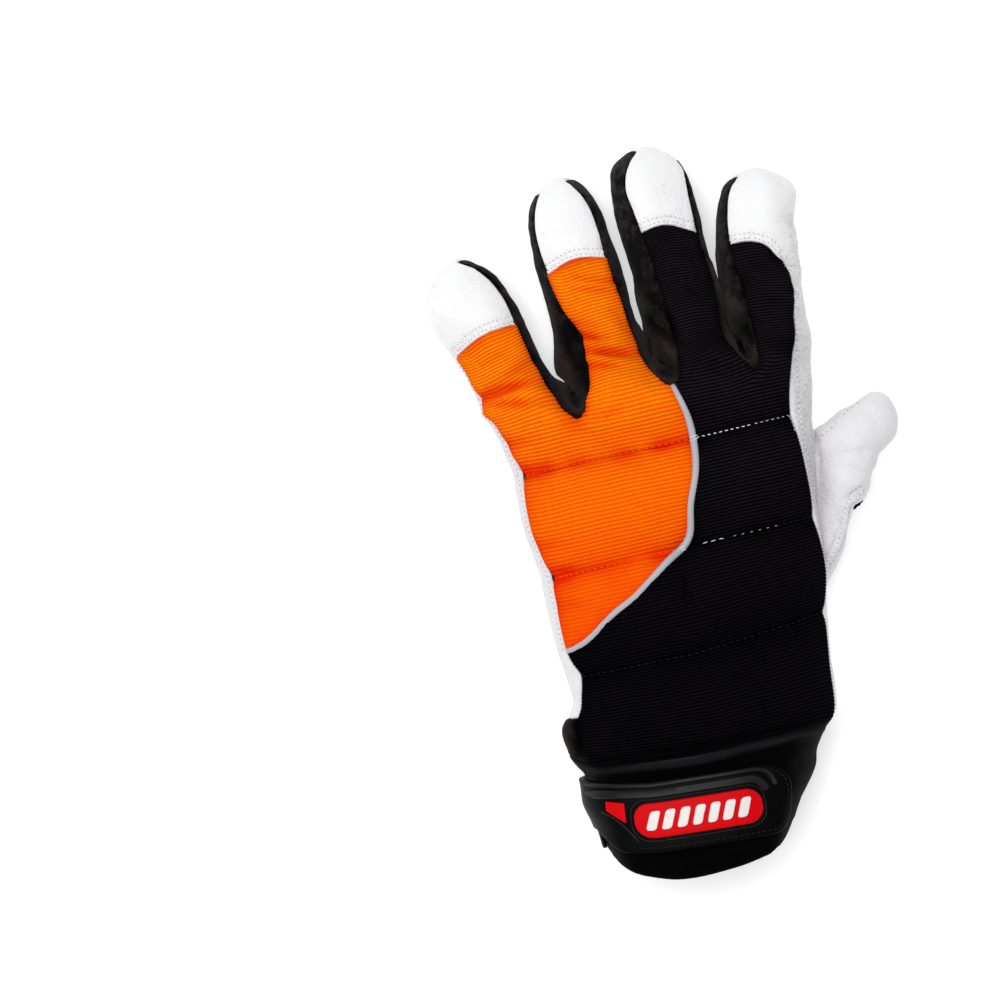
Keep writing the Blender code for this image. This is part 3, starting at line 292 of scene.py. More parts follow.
def add_row(row):
    """One row of places round the hand or the cuff: over the back, at both sides, along the underside."""
    w = FINGER_WIDTH
    start, unit, height = 0, PALM_LENGTH, HAND_HEIGHT
    if row in CUFF_ROWS:
        start, unit, height = CUFF_Y, CUFF_LENGTH, CUFF_HEIGHT
    low = ramp(start + (row.low_left + row.low_right) / 2 * unit, GROUND)
    outline = Outline(row.left * w, row.right * w, row.top * height, low, *HAND_SHAPE)
    for column in range(TOP_LAST + 1):
        if column <= MID:
            share = column / MID
            x, y = mix(row.seam_left, row.mid, share), mix(row.y_left, row.y_mid, share)
        else:
            share = (column - MID) / (TOP_LAST - MID)
            x, y = mix(row.mid, row.seam_right, share), mix(row.y_mid, row.y_right, share)
        if row.name == "low_puff" and column < MID:
            x, y = PIPING_TURN[column]
        if row.name == "hem":
            y = mix(row.y_mid, row.y_left if column < MID else row.y_right, (abs(column - MID) / MID) ** 3)
        spots[row.name, column] = Vector((x * w, start + y * unit, outline.height(x * w)))
    for column, sign, seam, y in ((RIGHT_SIDE, 1, row.seam_right, row.side_right),
                                  (LEFT_SIDE, -1, row.seam_left, row.side_left)):
        x, z = outline.side(sign, seam * w)
        spots[row.name, column] = Vector((x, start + y * unit, z))
    right_x, corner_z = outline.corner(1)
    right = Vector((right_x, start + row.low_right * unit, 0))
    left = Vector((outline.corner(-1)[0], start + row.low_left * unit, 0))
    inner = in_plan(*SEW_INNER[row.name]) if row.name in SEW_INNER else right.lerp(left, 1 / 8)
    if row.name in SEW_CORNER:
        right = in_plan(*SEW_CORNER[row.name])
    spots[row.name, LOW_FIRST] = Vector((right.x, right.y, corner_z))
    drop = 0.1 * CUFF_LENGTH if row.name == "hem" else 0.0
    for column in range(LOW_FIRST + 1, LOW_LAST + 1):
        share = (column - LOW_FIRST - 1) / (LOW_LAST - LOW_FIRST - 1)
        at = inner.lerp(left, share)
        z = corner_z if column == LOW_LAST else outline.bottom
        spots[row.name, column] = Vector((at.x, at.y - drop * math.sin(math.pi * share), z))


def add_knuckles():
    """The last row of the hand, where the fingers start, and the crotches between them."""
    for column, (x, y, top, _, _) in enumerate(KNUCKLES):
        spots["knuckles", column] = in_plan(x, y, top * HAND_HEIGHT)
    for column, (_, _, _, x, y) in enumerate(KNUCKLES):
        low = PATCH_RISE if column % 2 else mix(PATCH_RISE, HAND_HEIGHT, 0.06)
        spots["knuckles", LOW_LAST - column] = in_plan(x, y, low)
    for column, x, y, height in KNUCKLE_SIDES:
        spots["knuckles", column] = in_plan(x, y, height * HAND_HEIGHT)
    for number, (x, y, height) in enumerate(CROTCHES):
        spots["crotch", number] = in_plan(x, y, height * HAND_HEIGHT)


def finger_root(number):
    """The eight places that a finger shares with the hand, from its left seam round over the top."""
    first = 2 * number
    right = ("crotch", number) if number < 3 else ("knuckles", RIGHT_SIDE)
    left = ("crotch", number - 1) if number > 0 else ("knuckles", LEFT_SIDE)
    top = [("knuckles", first + step) for step in range(3)]
    low = [("knuckles", LOW_LAST - first - step) for step in (2, 1, 0)]
    return top + [right] + low + [left]


def add_finger(number, finger):
    """The rings of one finger and its closed tip: back or cap on top, palm below, strips or palm beside."""
    w = FINGER_WIDTH
    lean = math.radians(finger.lean)
    axis = Vector((math.sin(lean), math.cos(lean), 0))
    across = Vector((math.cos(lean), -math.sin(lean), 0))
    base = in_plan(finger.x, finger.y)
    rings = [finger_root(number)]
    for count, section in enumerate(finger.sections, 1):
        centre = base + axis * (section.along * finger.length)
        low = ramp(centre.y, GROUND)
        top = section.top * FINGER_HEIGHT
        outline = Outline(section.left * w, section.right * w, top, low, *FINGER_SHAPE)
        if section.along > 0.9:
            outline.bottom = mix(low, top, 0.12)
        seam_left, seam_right = section.seam_left * w, section.seam_right * w
        middle = mix(section.seam_left, section.seam_right, 0.5) * w
        right_x, right_z = outline.side(1, seam_right)
        left_x, left_z = outline.side(-1, seam_left)
        low_right_x, corner_z = outline.corner(1)
        ring = (
            (seam_left, 0.0, outline.height(seam_left)),
            (middle, section.bow * w, outline.height(middle)),
            (seam_right, section.lag * w, outline.height(seam_right)),
            (right_x, section.lag * w * 0.5, right_z),
            (low_right_x, 0.0, corner_z),
            (outline.centre, 0.0, outline.bottom),
            (outline.corner(-1)[0], 0.0, corner_z),
            (left_x, 0.0, left_z),
        )
        for place, (sideways, forward, z) in enumerate(ring):
            at = centre + across * sideways + axis * forward
            spots[finger.name, count, place] = Vector((at.x, at.y, z))
        rings.append([(finger.name, count, place) for place in range(8)])
    end = base + axis * finger.length
    tip = (finger.name, "tip")
    spots[tip] = Vector((end.x, end.y, TIP_HEIGHT * FINGER_HEIGHT))
    right = FOURCHETTES[number] if number < 3 else "palm"
    left = FOURCHETTES[number - 1] if number > 0 else "palm"
    cap = "cap_" + finger.name
    for count, (near, far) in enumerate(zip(rings, rings[1:])):
        top = BACK_OF[finger.name] if count < CAP_RINGS[finger.name] else cap
        for place, panel in enumerate((top, top, right, right, "palm", "palm", left, left)):
            following = (place + 1) % 8
            cage.append((panel, (near[place], near[following], far[following], far[place])))
    last = rings[-1]
    cage.append((cap, (last[0], last[1], tip, last[7])))
    cage.append((cap, (last[1], last[2], last[3], tip)))
    cage.append(("palm", (tip, last[3], last[4], last[5])))
    cage.append(("palm", (last[7], tip, last[5], last[6])))


def thumb_point(x, y):
    """A place of the thumb in plan, from its shares."""
    return Vector((THUMB_X * FINGER_WIDTH + x * THUMB_REACH, y * THUMB_SPAN, 0))


def thumb_angle(place):
    """The angle of a place round the thumb, in half turns from its upper edge."""
    if place < 5:
        return 0.16 + 0.17 * place
    if place == 5:
        return 1.03
    return 1.16 + 0.17 * (place - 6) if place < 11 else 0.0


def add_thumb():
    """The thumb: rings of twelve places pulled out of the hole in the palm's side, and a closed tip."""
    rings = [[(name, RIGHT_SIDE) for name in reversed(HOLE_ROWS)] + [(HOLE_ROWS[0], LOW_FIRST)]
             + [(name, LOW_FIRST + 1) for name in HOLE_ROWS] + [(HOLE_ROWS[-1], LOW_FIRST)]]
    for count, section in enumerate(THUMB_SECTIONS, 1):
        upper = thumb_point(section.upper_x, section.upper_y)
        lower = thumb_point(section.lower_x, section.lower_y)
        top = section.top * THUMB_HEIGHT
        bottom = section.bottom * THUMB_HEIGHT
        belly = mix(bottom, top, section.belly)
        for place in range(THUMB_AROUND):
            angle = math.pi * thumb_angle(place)
            at = upper.lerp(lower, (1 - math.cos(angle)) / 2)
            sine = math.sin(angle)
            reach = (top - belly) if sine > 0 else (belly - bottom)
            x = at.x + min(0.0, sine) ** 2 * section.under * THUMB_REACH
            z = belly + reach * math.copysign(abs(sine) ** 0.8, sine)
            spots["thumb", count, place] = Vector((x, at.y, z))
        rings.append([("thumb", count, place) for place in range(THUMB_AROUND)])
    tips = [("thumb_tip", number) for number in range(len(THUMB_TIP))]
    for key, (x, y) in zip(tips, THUMB_TIP):
        at = thumb_point(x, y)
        spots[key] = Vector((at.x, at.y, THUMB_SECTIONS[-1].belly * THUMB_HEIGHT))
    for count, (near, far) in enumerate(zip(rings, rings[1:])):
        for place in range(THUMB_AROUND):
            following = (place + 1) % THUMB_AROUND
            panel = "thumb_back" if place == 5 and count < len(THUMB_SECTIONS) - 1 else "thumb"
            cage.append((panel, (near[place], near[following], far[following], far[place])))
    last = rings[-1]
    chain = [last[11]] + tips + [last[5]]
    low = last[10:5:-1]
    for step in range(4):
        cage.append(("thumb", (last[step], last[step + 1], chain[step + 1], chain[step])))
        cage.append(("thumb", (chain[step], chain[step + 1], low[step + 1], low[step])))


def hand_panel(row, column):
    """The panel of the face between this row and the next, at this column."""
    level = ROW_NAMES.index(row)
    if level < ROW_NAMES.index("wrist"):
        return "cuff"
    if column < TOP_LAST:
        orange = column < MID and (row == "low_puff" or level >= ROW_NAMES.index("seam_two"))
        return "back_orange" if orange else "back_black"
    return "wrist_gusset" if row == "wrist" and column >= LOW_LAST else "palm"


def add_hand_faces():
    """The faces between the rows, with the thumb's hole left open and the turn of the piping cut in."""
    for low, high in zip(ROW_NAMES, ROW_NAMES[1:]):
        for column in range(AROUND):
            if low in HOLE_ROWS[:-1] and column in (RIGHT_SIDE, LOW_FIRST):
                continue
            following = (column + 1) % AROUND
            corners = [(low, column), (low, following), (high, following), (high, column)]
            if low == "low_puff" and column == MID - 1:
                corners.pop(1)
            if low == "seam_three" and column == MID - 1:
                corners.insert(3, ("seam_two", MID))
            cage.append((hand_panel(low, column), tuple(corners)))


# Rounds in which the cage is fitted, and subdivisions: of the surface that it is fitted by, and of the finer
# one that every piece is measured from, with that one's cells along one side of a cage face
FIT_ROUNDS = 10
COARSE = 1
FINE = 4
CELLS = 2 ** FINE

# Knit of the back
RIB_PITCH = {"orange_knit": 1.42 * MM, "black_knit": 1.23 * MM}
RIB_HEIGHT = 0.36 * MM
RIB_BOW = 3.2 * MM
LOOP_PITCH = 0.70 * MM
SEAM_ROWS = ("wrist", "seam_three", "seam_two", "seam_one")
SEAM_DEPTH = 1.7 * MM
SEAM_WIDTH = 1.5 * MM
PUFF = 0.9 * MM
PUCKER = 0.35 * MM

# How panels are drawn: the finish, which is also the slot, the wall in mm, cells along and across a face of
# the cage, and the roll of the edges in mm
Look = namedtuple("Look", "finish wall rows columns roll")
LOOKS = {name: Look(*values) for *values, names in (
    ("orange_knit", 3.0, 64, 10, 1.6, "back_orange"),
    ("black_knit", 3.0, 64, 10, 1.6, "back_black"),
    ("white_leather", 1.2, 14, 14, 0.9, "palm"),
    ("white_leather", 1.2, 26, 26, 0.9, "cap_little cap_ring cap_middle cap_index"),
    ("black_suede", 1.0, 14, 14, 0.7, " ".join(FOURCHETTES)),
    ("white_leather", 1.2, 16, 16, 0.8, "thumb"),
    ("black_knit", 1.2, 30, 12, 0.8, "thumb_back"),
    ("black_suede", 1.2, 16, 16, 0.8, "wrist_gusset"),
    ("neoprene", 2.5, 14, 14, 0.9, "cuff"),
) for name in names.split()}
INNER = 2

# Seams moved over the surface: around x and y, by dx and dy, within a radius, all in mm
PULLS = (
    (-33, 67, 3.2, 0, 9), (41, 86.5, 0.5, 1.8, 5), (45.6, 76, 1.5, 0.5, 7), (47.2, 83, -1.3, -1.1, 4),
    (-38, 43.5, -1.4, -1, 3), (-31.5, 41.5, 1.2, -1.6, 3), (4.2, 47.5, 1.6, -1.2, 3.2),
    (26.5, 49.5, -1.6, -1, 2.6), (32.5, 50, 1, -1, 2.6), (-4.5, 128, 3.4, 5.8, 6.8), (-3.5, 115, -2.2, 0, 8),
    (10.5, 126, 5.6, -4.6, 8), (16, 115, 1.3, 0, 9), (-23, 121.5, -1.8, 3.4, 6.5), (-64, 99.5, -3.4, 1.8, 7),
    (34, 113.5, 0.6, 2.8, 6), (40, -44, 2, 0, 8), (-6.5, -18, -2.6, 2, 8), (-17, -25, -1.2, 1.6, 8),
    (-27, -39.5, -2.6, 3.2, 11), (5.5, 1, -2.6, 0, 9),
)

# Places of the surface itself moved in plan, in the same measures: fingertips, thumb, wrist and cuff
PUSHES = (
    (-62.4, 102, -0.5, 1.6, 12), (-27.5, 124, -0.3, 2.1, 12), (-1, 130, 0, 0.9, 12), (43.9, 115, 0.1, 2, 12),
    (73, 30, 0.6, 1, 7), (66.4, 6.4, 2.4, -0.4, 4.5), (25, -97, 4, 0.5, 9), (-54, -71.5, -3.5, 0.3, 6.5),
    (-42, -119, -1.5, -0.2, 9), (-3, -127, 0, 1.2, 11), (62.5, -4.5, 1.7, 1, 5), (76, 20, 1, 0, 7),
    (50, 18, 0.3, 2.3, 5.5), (64, 30.5, 0, -1, 5), (54.5, 107, 1.4, 0.3, 5), (52, 89, 2, 0, 7),
    (50, 79, 2.2, 0, 6.5), (50.5, 67, 1.6, 0, 6.5), (51, 55, 1.8, 0, 7),
)

# Folds and dents of the glove as it lies: from one place to another in plan, the width and depth, all in mm
FOLDS = (
    (-69, 51, -50, 54, 1.9, 2.6), (-66, 54, -48, 61, 2, 1.3), (-66, 48, -47, 46, 2.2, 1.3),
    (-69, 46, -56, 44, 2, -1.6), (-68, 57, -55, 58, 2.4, -0.9), (-48, 57, -42, 49, 2, 0.7),
    (-66, 62, -54, 67, 1.6, 0.5), (-60, 49.5, -50, 50, 1.2, -0.6), (-31, 68, -20, 64.4, 2.2, 2.3),
    (-26, 61.4, -11, 58, 2.3, 2.4), (-28, 56.6, -17, 55, 1.8, 1.4), (-30, 66, -15, 62, 1.7, -1.1),
    (-28, 59.3, -14, 56.2, 1.5, -0.9), (-32, 73, -22, 70, 1.6, 0.7), (-28, 88, -13, 84.5, 1.3, 0.9),
    (-28, 84.5, -14, 81.5, 1.3, 0.9), (-27, 86.3, -14, 83, 1, -0.5), (-16, 76, -11, 64, 1.8, 0.8),
    (-42, 38, -32, 34.5, 2, 0.9), (-28, 36.5, -18, 40, 2, 0.8), (-60, 22, -45, 23, 3, 1.5),
    (-55, -15.5, -43, -14, 2.8, 1.4), (-64, 34, -50, 33, 2.6, 0.8), (-62, 29, -49, 29, 2, -0.6),
    (-56, -4, -45, -5, 2.4, 0.7), (-52, -26, -41, -27, 2.2, 0.7), (-9, 24, 3, 25, 2.4, 0.8),
    (-8, -13, -2, -12, 2.4, 0.8), (-44, 19, -20, 18, 3, -0.5), (-2.4, 55, 2.8, 48.3, 0.9, 2.4),
    (-6.5, 53, -4, 47.6, 1.2, -1.1), (-4, 47.6, 1, 45.8, 1.1, -1), (1, 45.8, 5.5, 47.5, 1.1, -1),
    (0, 62, 5, 53, 1.6, -1), (-3, 72, 3, 62, 1.6, 1.2), (-6, 80, -3, 70, 2.4, -0.6), (3, 70, 7, 58, 1.4, 0.8),
    (-9, 92, -6, 84, 3, 0.4), (-36.5, 54, -33.2, 43.5, 1.3, 2.4), (-39, 49, -36.2, 41.5, 1.1, -1),
    (-36.2, 41.5, -32, 40, 1.1, -1), (-32, 40, -29.6, 45, 1.1, -1), (-38, 66, -36, 54, 2.6, -1.6),
    (-34, 70, -32, 60, 1.5, 0.8), (-29.5, 58, -28.5, 48, 1.4, 0.7), (26.8, 59, 29.2, 51.5, 1.4, 2.2),
    (25.5, 50.5, 28, 47.5, 1.1, -1), (28, 47.5, 32, 48.6, 1.1, -1), (32, 48.6, 33.4, 56, 1.2, -1),
    (27, 74, 30, 64, 1.7, -1), (30.5, 66, 31.5, 56, 1.3, 0.8), (9, 52, 22, 46, 3, 0.8),
    (36, 55, 46, 50, 3, 0.7), (10, 92, 18, 89, 2, 0.5), (33, 84, 44, 80, 2, 0.5), (38, 70, 46, 66, 2.2, 0.5),
    (8, 78, 20, 74, 2.4, 0.4), (-47, -86, 2, -88.6, 1.3, -1.6), (-22, -88, 34, -83.5, 1.3, -1.6),
    (-46, -83.3, 34, -80.8, 1.5, 1), (-45, -90, 30, -88, 1.4, 0.8), (30, -90, 37, -82, 2.4, -0.9),
    (-54, -66, -57, -75, 2, -1.1), (-50, -68, -52, -80, 1.6, 1.2), (-20, -122, 10, -121, 2, 0.7),
    (76, 4, 59, 9, 4.6, 2.4), (62, 9, 50, 11.5, 3, 0.9), (66, -1, 56, 3, 4.4, -1.2),
    (67, -6.4, 57, -9, 1.3, 1.6), (63, -5, 56.5, -7.5, 1.5, -1), (56, -8, 52.5, -17, 1.5, -1),
    (52, -18, 47, -25, 1.5, -1), (62, -1.8, 55, -4.8, 1.2, 1), (54.2, -6, 50.8, -15, 1.2, 1),
    (50.2, -17, 46, -23, 1.2, 0.8), (63, 0.6, 53, -12, 1.6, 0.5), (-40.2, 57, -37.6, 51, 2.4, -1.8),
    (-37, 60, -36.4, 51, 2.2, -1.6), (-8.2, 67, -3.4, 53.5, 2.5, -2.7), (21.5, 86, 27, 58, 1.8, -1.3),
    (55, 107, 53, 104, 2, -0.7), (54, 99, 50, 98, 1.8, 0.6), (48, 97, 55, 95.5, 1.2, 0.8),
    (47.5, 92, 54, 90.5, 1, 0.6), (48, 86.5, 53.5, 86, 1, 0.7), (48.3, 81, 53, 80.6, 1, 0.6),
    (48.6, 75, 53, 74, 1, 0.6), (48.4, 70, 52.5, 69, 1, 0.5), (48, 63, 52, 62, 1, 0.5),
    (47.5, 55, 51.5, 54, 1, 0.5), (47, 47, 51, 46, 1, 0.5), (-37.4, 51.8, -34.4, 48, 2.2, -2.8),
    (23.2, 60.5, 25.4, 51.5, 2.2, -2.4), (-7, 98, -3, 93, 2.8, 0.7), (-6, 86.5, -2, 85, 2.4, 0.8),
    (-3, 79, 1, 76, 1.8, 0.7), (-3, 70, 2, 66, 1.8, 0.8), (24.6, 62, 25.6, 56, 1.6, -1.6),
    (-60, 92, -72, 86, 5, 0.6), (-32, 108, -16, 106, 5, 0.5), (4, 115, 16, 114, 5, 0.5),
    (-80, 82, -70, 74, 2.2, 0.6), (-52, -58, -49, -66, 2, 0.9), (46, -12, 50, -20, 1.6, 0.6),
)


def smooth_step(low, high, value):
    """A soft rise from 0 at low to 1 at high."""
    share = np.clip((value - low) / (high - low), 0, 1)
    return share * share * (3 - 2 * share)


def bell(distance, width):
    """1 at no distance, falling softly to nothing beyond a width."""
    return np.exp(-(distance / width) ** 2)


def ripple(points, size, seed=0.0):
    """Smooth noise over points, from about -1 to 1, with waves of a given size."""
    return np.array([noise.noise(Vector(point / size) + Vector((seed, seed, seed))) for point in points])


def nearest_tree(places):
    """A tree to find the nearest of these places with."""
    tree = KDTree(len(places))
    for index, place in enumerate(places):
        tree.insert(place, index)
    tree.balance()
    return tree


def distances(tree, points):
    """How far each point lies from the nearest place of a tree."""
    return np.array([tree.find(point)[2] for point in points])


def surface_tree(*surfaces):
    """One tree of several surfaces, each given as points and faces."""
    points, faces = [], []
    for some, corners in surfaces:
        faces += (np.array(corners) + len(points)).tolist()
        points += np.array(some).tolist()
    return BVHTree.FromPolygons(points, faces)


def built(name, points, faces):
    """A mesh of these points and faces."""
    mesh = bpy.data.meshes.new(name)
    mesh.from_pydata(points, [], faces)
    return mesh


def subdivided(places, levels):
    """The cage through these places, subdivided: its points, their normals and its faces' corners."""
    order = {key: index for index, key in enumerate(spots)}
    mesh = built("cage", places, [[order[key] for key in keys] for _, keys in cage])
    holder = bpy.data.objects.new("cage", mesh)
    bpy.context.scene.collection.objects.link(holder)
    smooth = holder.modifiers.new("smooth", "SUBSURF")
    smooth.levels = smooth.render_levels = levels
    bpy.context.view_layer.update()
    made = bpy.data.meshes.new_from_object(holder.evaluated_get(bpy.context.evaluated_depsgraph_get()))
    bpy.data.objects.remove(holder, do_unlink=True)
    points = np.empty(len(made.vertices) * 3)
    normals = np.empty(len(made.vertices) * 3)
    made.vertices.foreach_get("co", points)
    made.vertices.foreach_get("normal", normals)
    corners = np.empty(len(made.loops), int)
    made.loops.foreach_get("vertex_index", corners)
    return points.reshape(-1, 3), normals.reshape(-1, 3), corners.reshape(-1, 4)


def fitted_places():
    """The cage pushed out until its smooth surface passes through the chosen places."""
    places = [place.copy() for place in spots.values()]
    for _ in range(FIT_ROUNDS):
        smooth = subdivided(places, COARSE)[0]
        for place, target, reached in zip(places, spots.values(), smooth):
            place += (target - Vector(reached)) * 0.8
    return places


def moved_by(pulls, points):
    """How far a set of pulls moves each place."""
    moves = np.zeros((len(points), 3))
    for x, y, dx, dy, radius in pulls:
        away = np.linalg.norm(points[:, :2] - np.array((x, y)) * MM, axis=1)
        moves += bell(away, radius * MM)[:, None] * np.array((dx, dy, 0)) * MM
    return moves


def pulled(points, normals, quads):
    """The surface's points, moved along it where a seam is drawn elsewhere."""
    tree = surface_tree((points, quads))
    moves = moved_by(PULLS, points) * smooth_step(-0.4, 0.2, normals[:, 2])[:, None]
    found, normals = points.copy(), normals.copy()
    for index in np.nonzero(np.linalg.norm(moves, axis=1) > 0.02 * MM)[0]:
        found[index], normals[index] = tree.find_nearest(Vector(points[index] + moves[index]))[:2]
    return found + moved_by(PUSHES, points), normals


def square(quads, corner, side):
    """The vertex numbers of one square of faces, in rows from a corner of the cage."""
    beside = {}
    for quad in quads.tolist():
        for turn in range(4):
            turned = quad[turn:] + quad[:turn]
            beside[turned[0], turned[1]] = turned
            if turned[0] == corner:
                line = turned
    grid = np.empty((side + 1, side + 1), int)
    for row in range(side):
        cell = line
        for column in range(side):
            grid[row, column], grid[row, column + 1], grid[row + 1, column + 1], grid[row + 1, column] = cell
            if column < side - 1:
                turned = beside[cell[2], cell[1]]
                cell = turned[1:] + turned[:1]
        if row < side - 1:
            line = beside[line[3], line[2]]
    return grid


Patch = namedtuple("Patch", "panel hem points normals marks")


def fine_patches(places):
    """The smooth surface, moved to the frame's origin, as one square grid for each face of the cage."""
    coarse = subdivided(places, COARSE)[0]
    shift = -(coarse.min(0) + coarse.max(0)) / 2
    shift[2] = 0.0
    points, normals, quads = subdivided(places, FINE)
    points[:, 2] = np.maximum(points[:, 2], [ramp(y, GROUND) for y in points[:, 1]])
    points, normals = pulled(points, normals, quads)
    points += shift
    order = {key: index for index, key in enumerate(spots)}
    patches = []
    first = 0
    for panel, keys in cage:
        whole = len(keys) == 4
        side = CELLS if whole else CELLS // 2
        size = CELLS ** 2 if whole else len(keys) * side ** 2
        for key in keys[:1] if whole else keys:
            marks = square(quads[first:first + size], order[key], side)
            if not whole:
                turned = [np.rot90(marks, count) for count in range(4)]
                marks = max(turned, key=lambda grid: (points[grid[-1]] - points[grid[0]])[:, 1].mean())
            patches.append(Patch(panel, keys[0][0] == "hem", points[marks], normals[marks], marks))
        first += size
    return patches, Vector(shift)


def weights(places, cells):
    """How much each of the even places on a line counts at these shares of its length."""
    table = np.zeros((len(places), cells + 1))
    for row, place in enumerate(places):
        at = place * cells
        index = min(int(at), cells - 1)
        f = at - index
        parts = (-f + 2 * f * f - f ** 3, 2 - 5 * f * f + 3 * f ** 3,
                 f + 4 * f * f - 3 * f ** 3, f ** 3 - f * f)
        for step, part in enumerate(parts, -1):
            table[row, min(max(index + step, 0), cells)] += part / 2
    return table


def crowded(cells, ends=0.72):
    """Shares of a length that lie closer together near both of its ends."""
    even = np.linspace(0.0, 1.0, cells + 1)
    return even - ends * np.sin(2 * np.pi * even) / (2 * np.pi)


def resampled(grid, rows, columns):
    """The points of a patch's grid at other places along and across it."""
    down = weights(rows, grid.shape[0] - 1)
    over = weights(columns, grid.shape[1] - 1)
    return np.einsum("ri,cj,ijk->rck", down, over, grid).reshape(-1, 3)


def sides(grid):
    """The four sides of a grid, in its turning direction."""
    return grid[0], grid[:, -1], grid[-1, ::-1], grid[::-1, 0]


def rims(marks):
    """The short edges round a patch, in its own turning direction."""
    chain = [mark for side in sides(marks) for mark in side[:-1]]
    return list(zip(chain, chain[1:] + chain[:1]))


class Panels:
    """The sewn panels of the glove: their patches, their borders and the pieces made of them."""

    def __init__(self, patches):
        self.patches = patches
        self.owners = {}
        for patch in patches:
            for edge in rims(patch.marks):
                self.owners.setdefault(frozenset(edge), set()).add(patch.panel)
        self.made = {}
        self.skins = {}

    def of(self, name):
        return [patch for patch in self.patches if patch.panel == name]

    def border(self, name, other=None):
        """Edges where a panel ends or meets one other panel: the numbers and the places of their ends."""
        found = []
        for patch in self.of(name):
            place = dict(zip(patch.marks.ravel(), patch.points.reshape(-1, 3)))
            hem = set(patch.marks[0]) if patch.hem else set()
            for a, b in rims(patch.marks):
                owners = self.owners[frozenset((a, b))]
                if (other in owners) if other else (len(owners) > 1 or {a, b} <= hem):
                    found.append((a, b, place[a], place[b]))
        return found

    def plain(self, name):
        """Points and faces of the finely subdivided surface of one panel, without its folds."""
        points, faces = [], []
        for patch in self.of(name):
            down, over = patch.marks.shape
            faces.append(grid_faces(numbered(down - 1, over - 1, sum(len(part) for part in points))))
            points.append(patch.points.reshape(-1, 3))
        return np.concatenate(points), np.concatenate(faces)


def border_distance(points, edges, steps=6):
    """How far each point lies from the nearest of these edges."""
    ends = np.array([(a, b) for _, _, a, b in edges])
    shares = np.arange(steps)[:, None, None] / steps
    places = ends[None, :, 0] * (1 - shares) + ends[None, :, 1] * shares
    return distances(nearest_tree(places.reshape(-1, 3)), points)


def rolled(distance, radius):
    """The depth of an edge that turns in like a quarter of a circle."""
    share = 1 - np.clip(distance / radius, 0, 1)
    return radius * (1 - np.sqrt(1 - share * share))


def welded(points):
    """Numbers that are the same where points coincide, and the first point of each number."""
    keys = np.round(points / (0.02 * MM)).astype(int)
    _, first, number = np.unique(keys, axis=0, return_index=True, return_inverse=True)
    return first, number.ravel()


def turns(face):
    """The edges of a face, in its turning direction."""
    return zip(face, face[1:] + face[:1])


def stitched(faces, points):
    """Faces without doubled corners, each open edge with the open points that lie on it, so nothing gapes."""
    faces = [[one for one, other in turns(face) if one != other] for face in faces]
    faces = [face for face in faces if len(face) > 2]
    spans = {span: index for index, face in enumerate(faces) for span in turns(face)}
    spans = {span: index for span, index in spans.items() if span[::-1] not in spans}
    loose = np.array(sorted({end for span in spans for end in span}), int)
    for (start, end), index in spans.items():
        along = points[end] - points[start]
        length = np.linalg.norm(along)
        share = (points[loose] - points[start]) @ along / length ** 2
        off = np.linalg.norm(points[loose] - points[start] - share[:, None] * along, axis=1)
        between = (share > 0.001) & (share < 0.999) & (off < min(0.8 * MM, 0.15 * length))
        place = faces[index].index(start) + 1
        faces[index][place:place] = loose[between][np.argsort(share[between])].tolist()
    return faces + slit_faces(faces)


def slit_faces(faces):
    """A face for each slit that is still open."""
    spans = {span for face in faces for span in turns(face)}
    ways = {}
    for start, end in sorted(spans):
        if (end, start) not in spans:
            ways.setdefault(end, []).append(start)
    found, path = [], []
    while ways:
        path = path if path and path[-1] in ways else [next(iter(ways))]
        onward = ways[path[-1]].pop()
        if not ways[path[-1]]:
            del ways[path[-1]]
        if onward not in path:
            path.append(onward)
            continue
        place = path.index(onward)
        found.append(path[place:])
        path = path[:place + 1] if place else []
    return found


def numbered(rows, columns, start=0):
    """The numbers of a grid of points."""
    return start + np.arange((rows + 1) * (columns + 1)).reshape(rows + 1, columns + 1)


def grid_faces(grid, inwards=False):
    """The faces of a grid of points."""
    a, b, c, d = grid[:-1, :-1], grid[:-1, 1:], grid[1:, 1:], grid[1:, :-1]
    return np.stack((d, c, b, a) if inwards else (a, b, c, d), axis=-1).reshape(-1, 4)


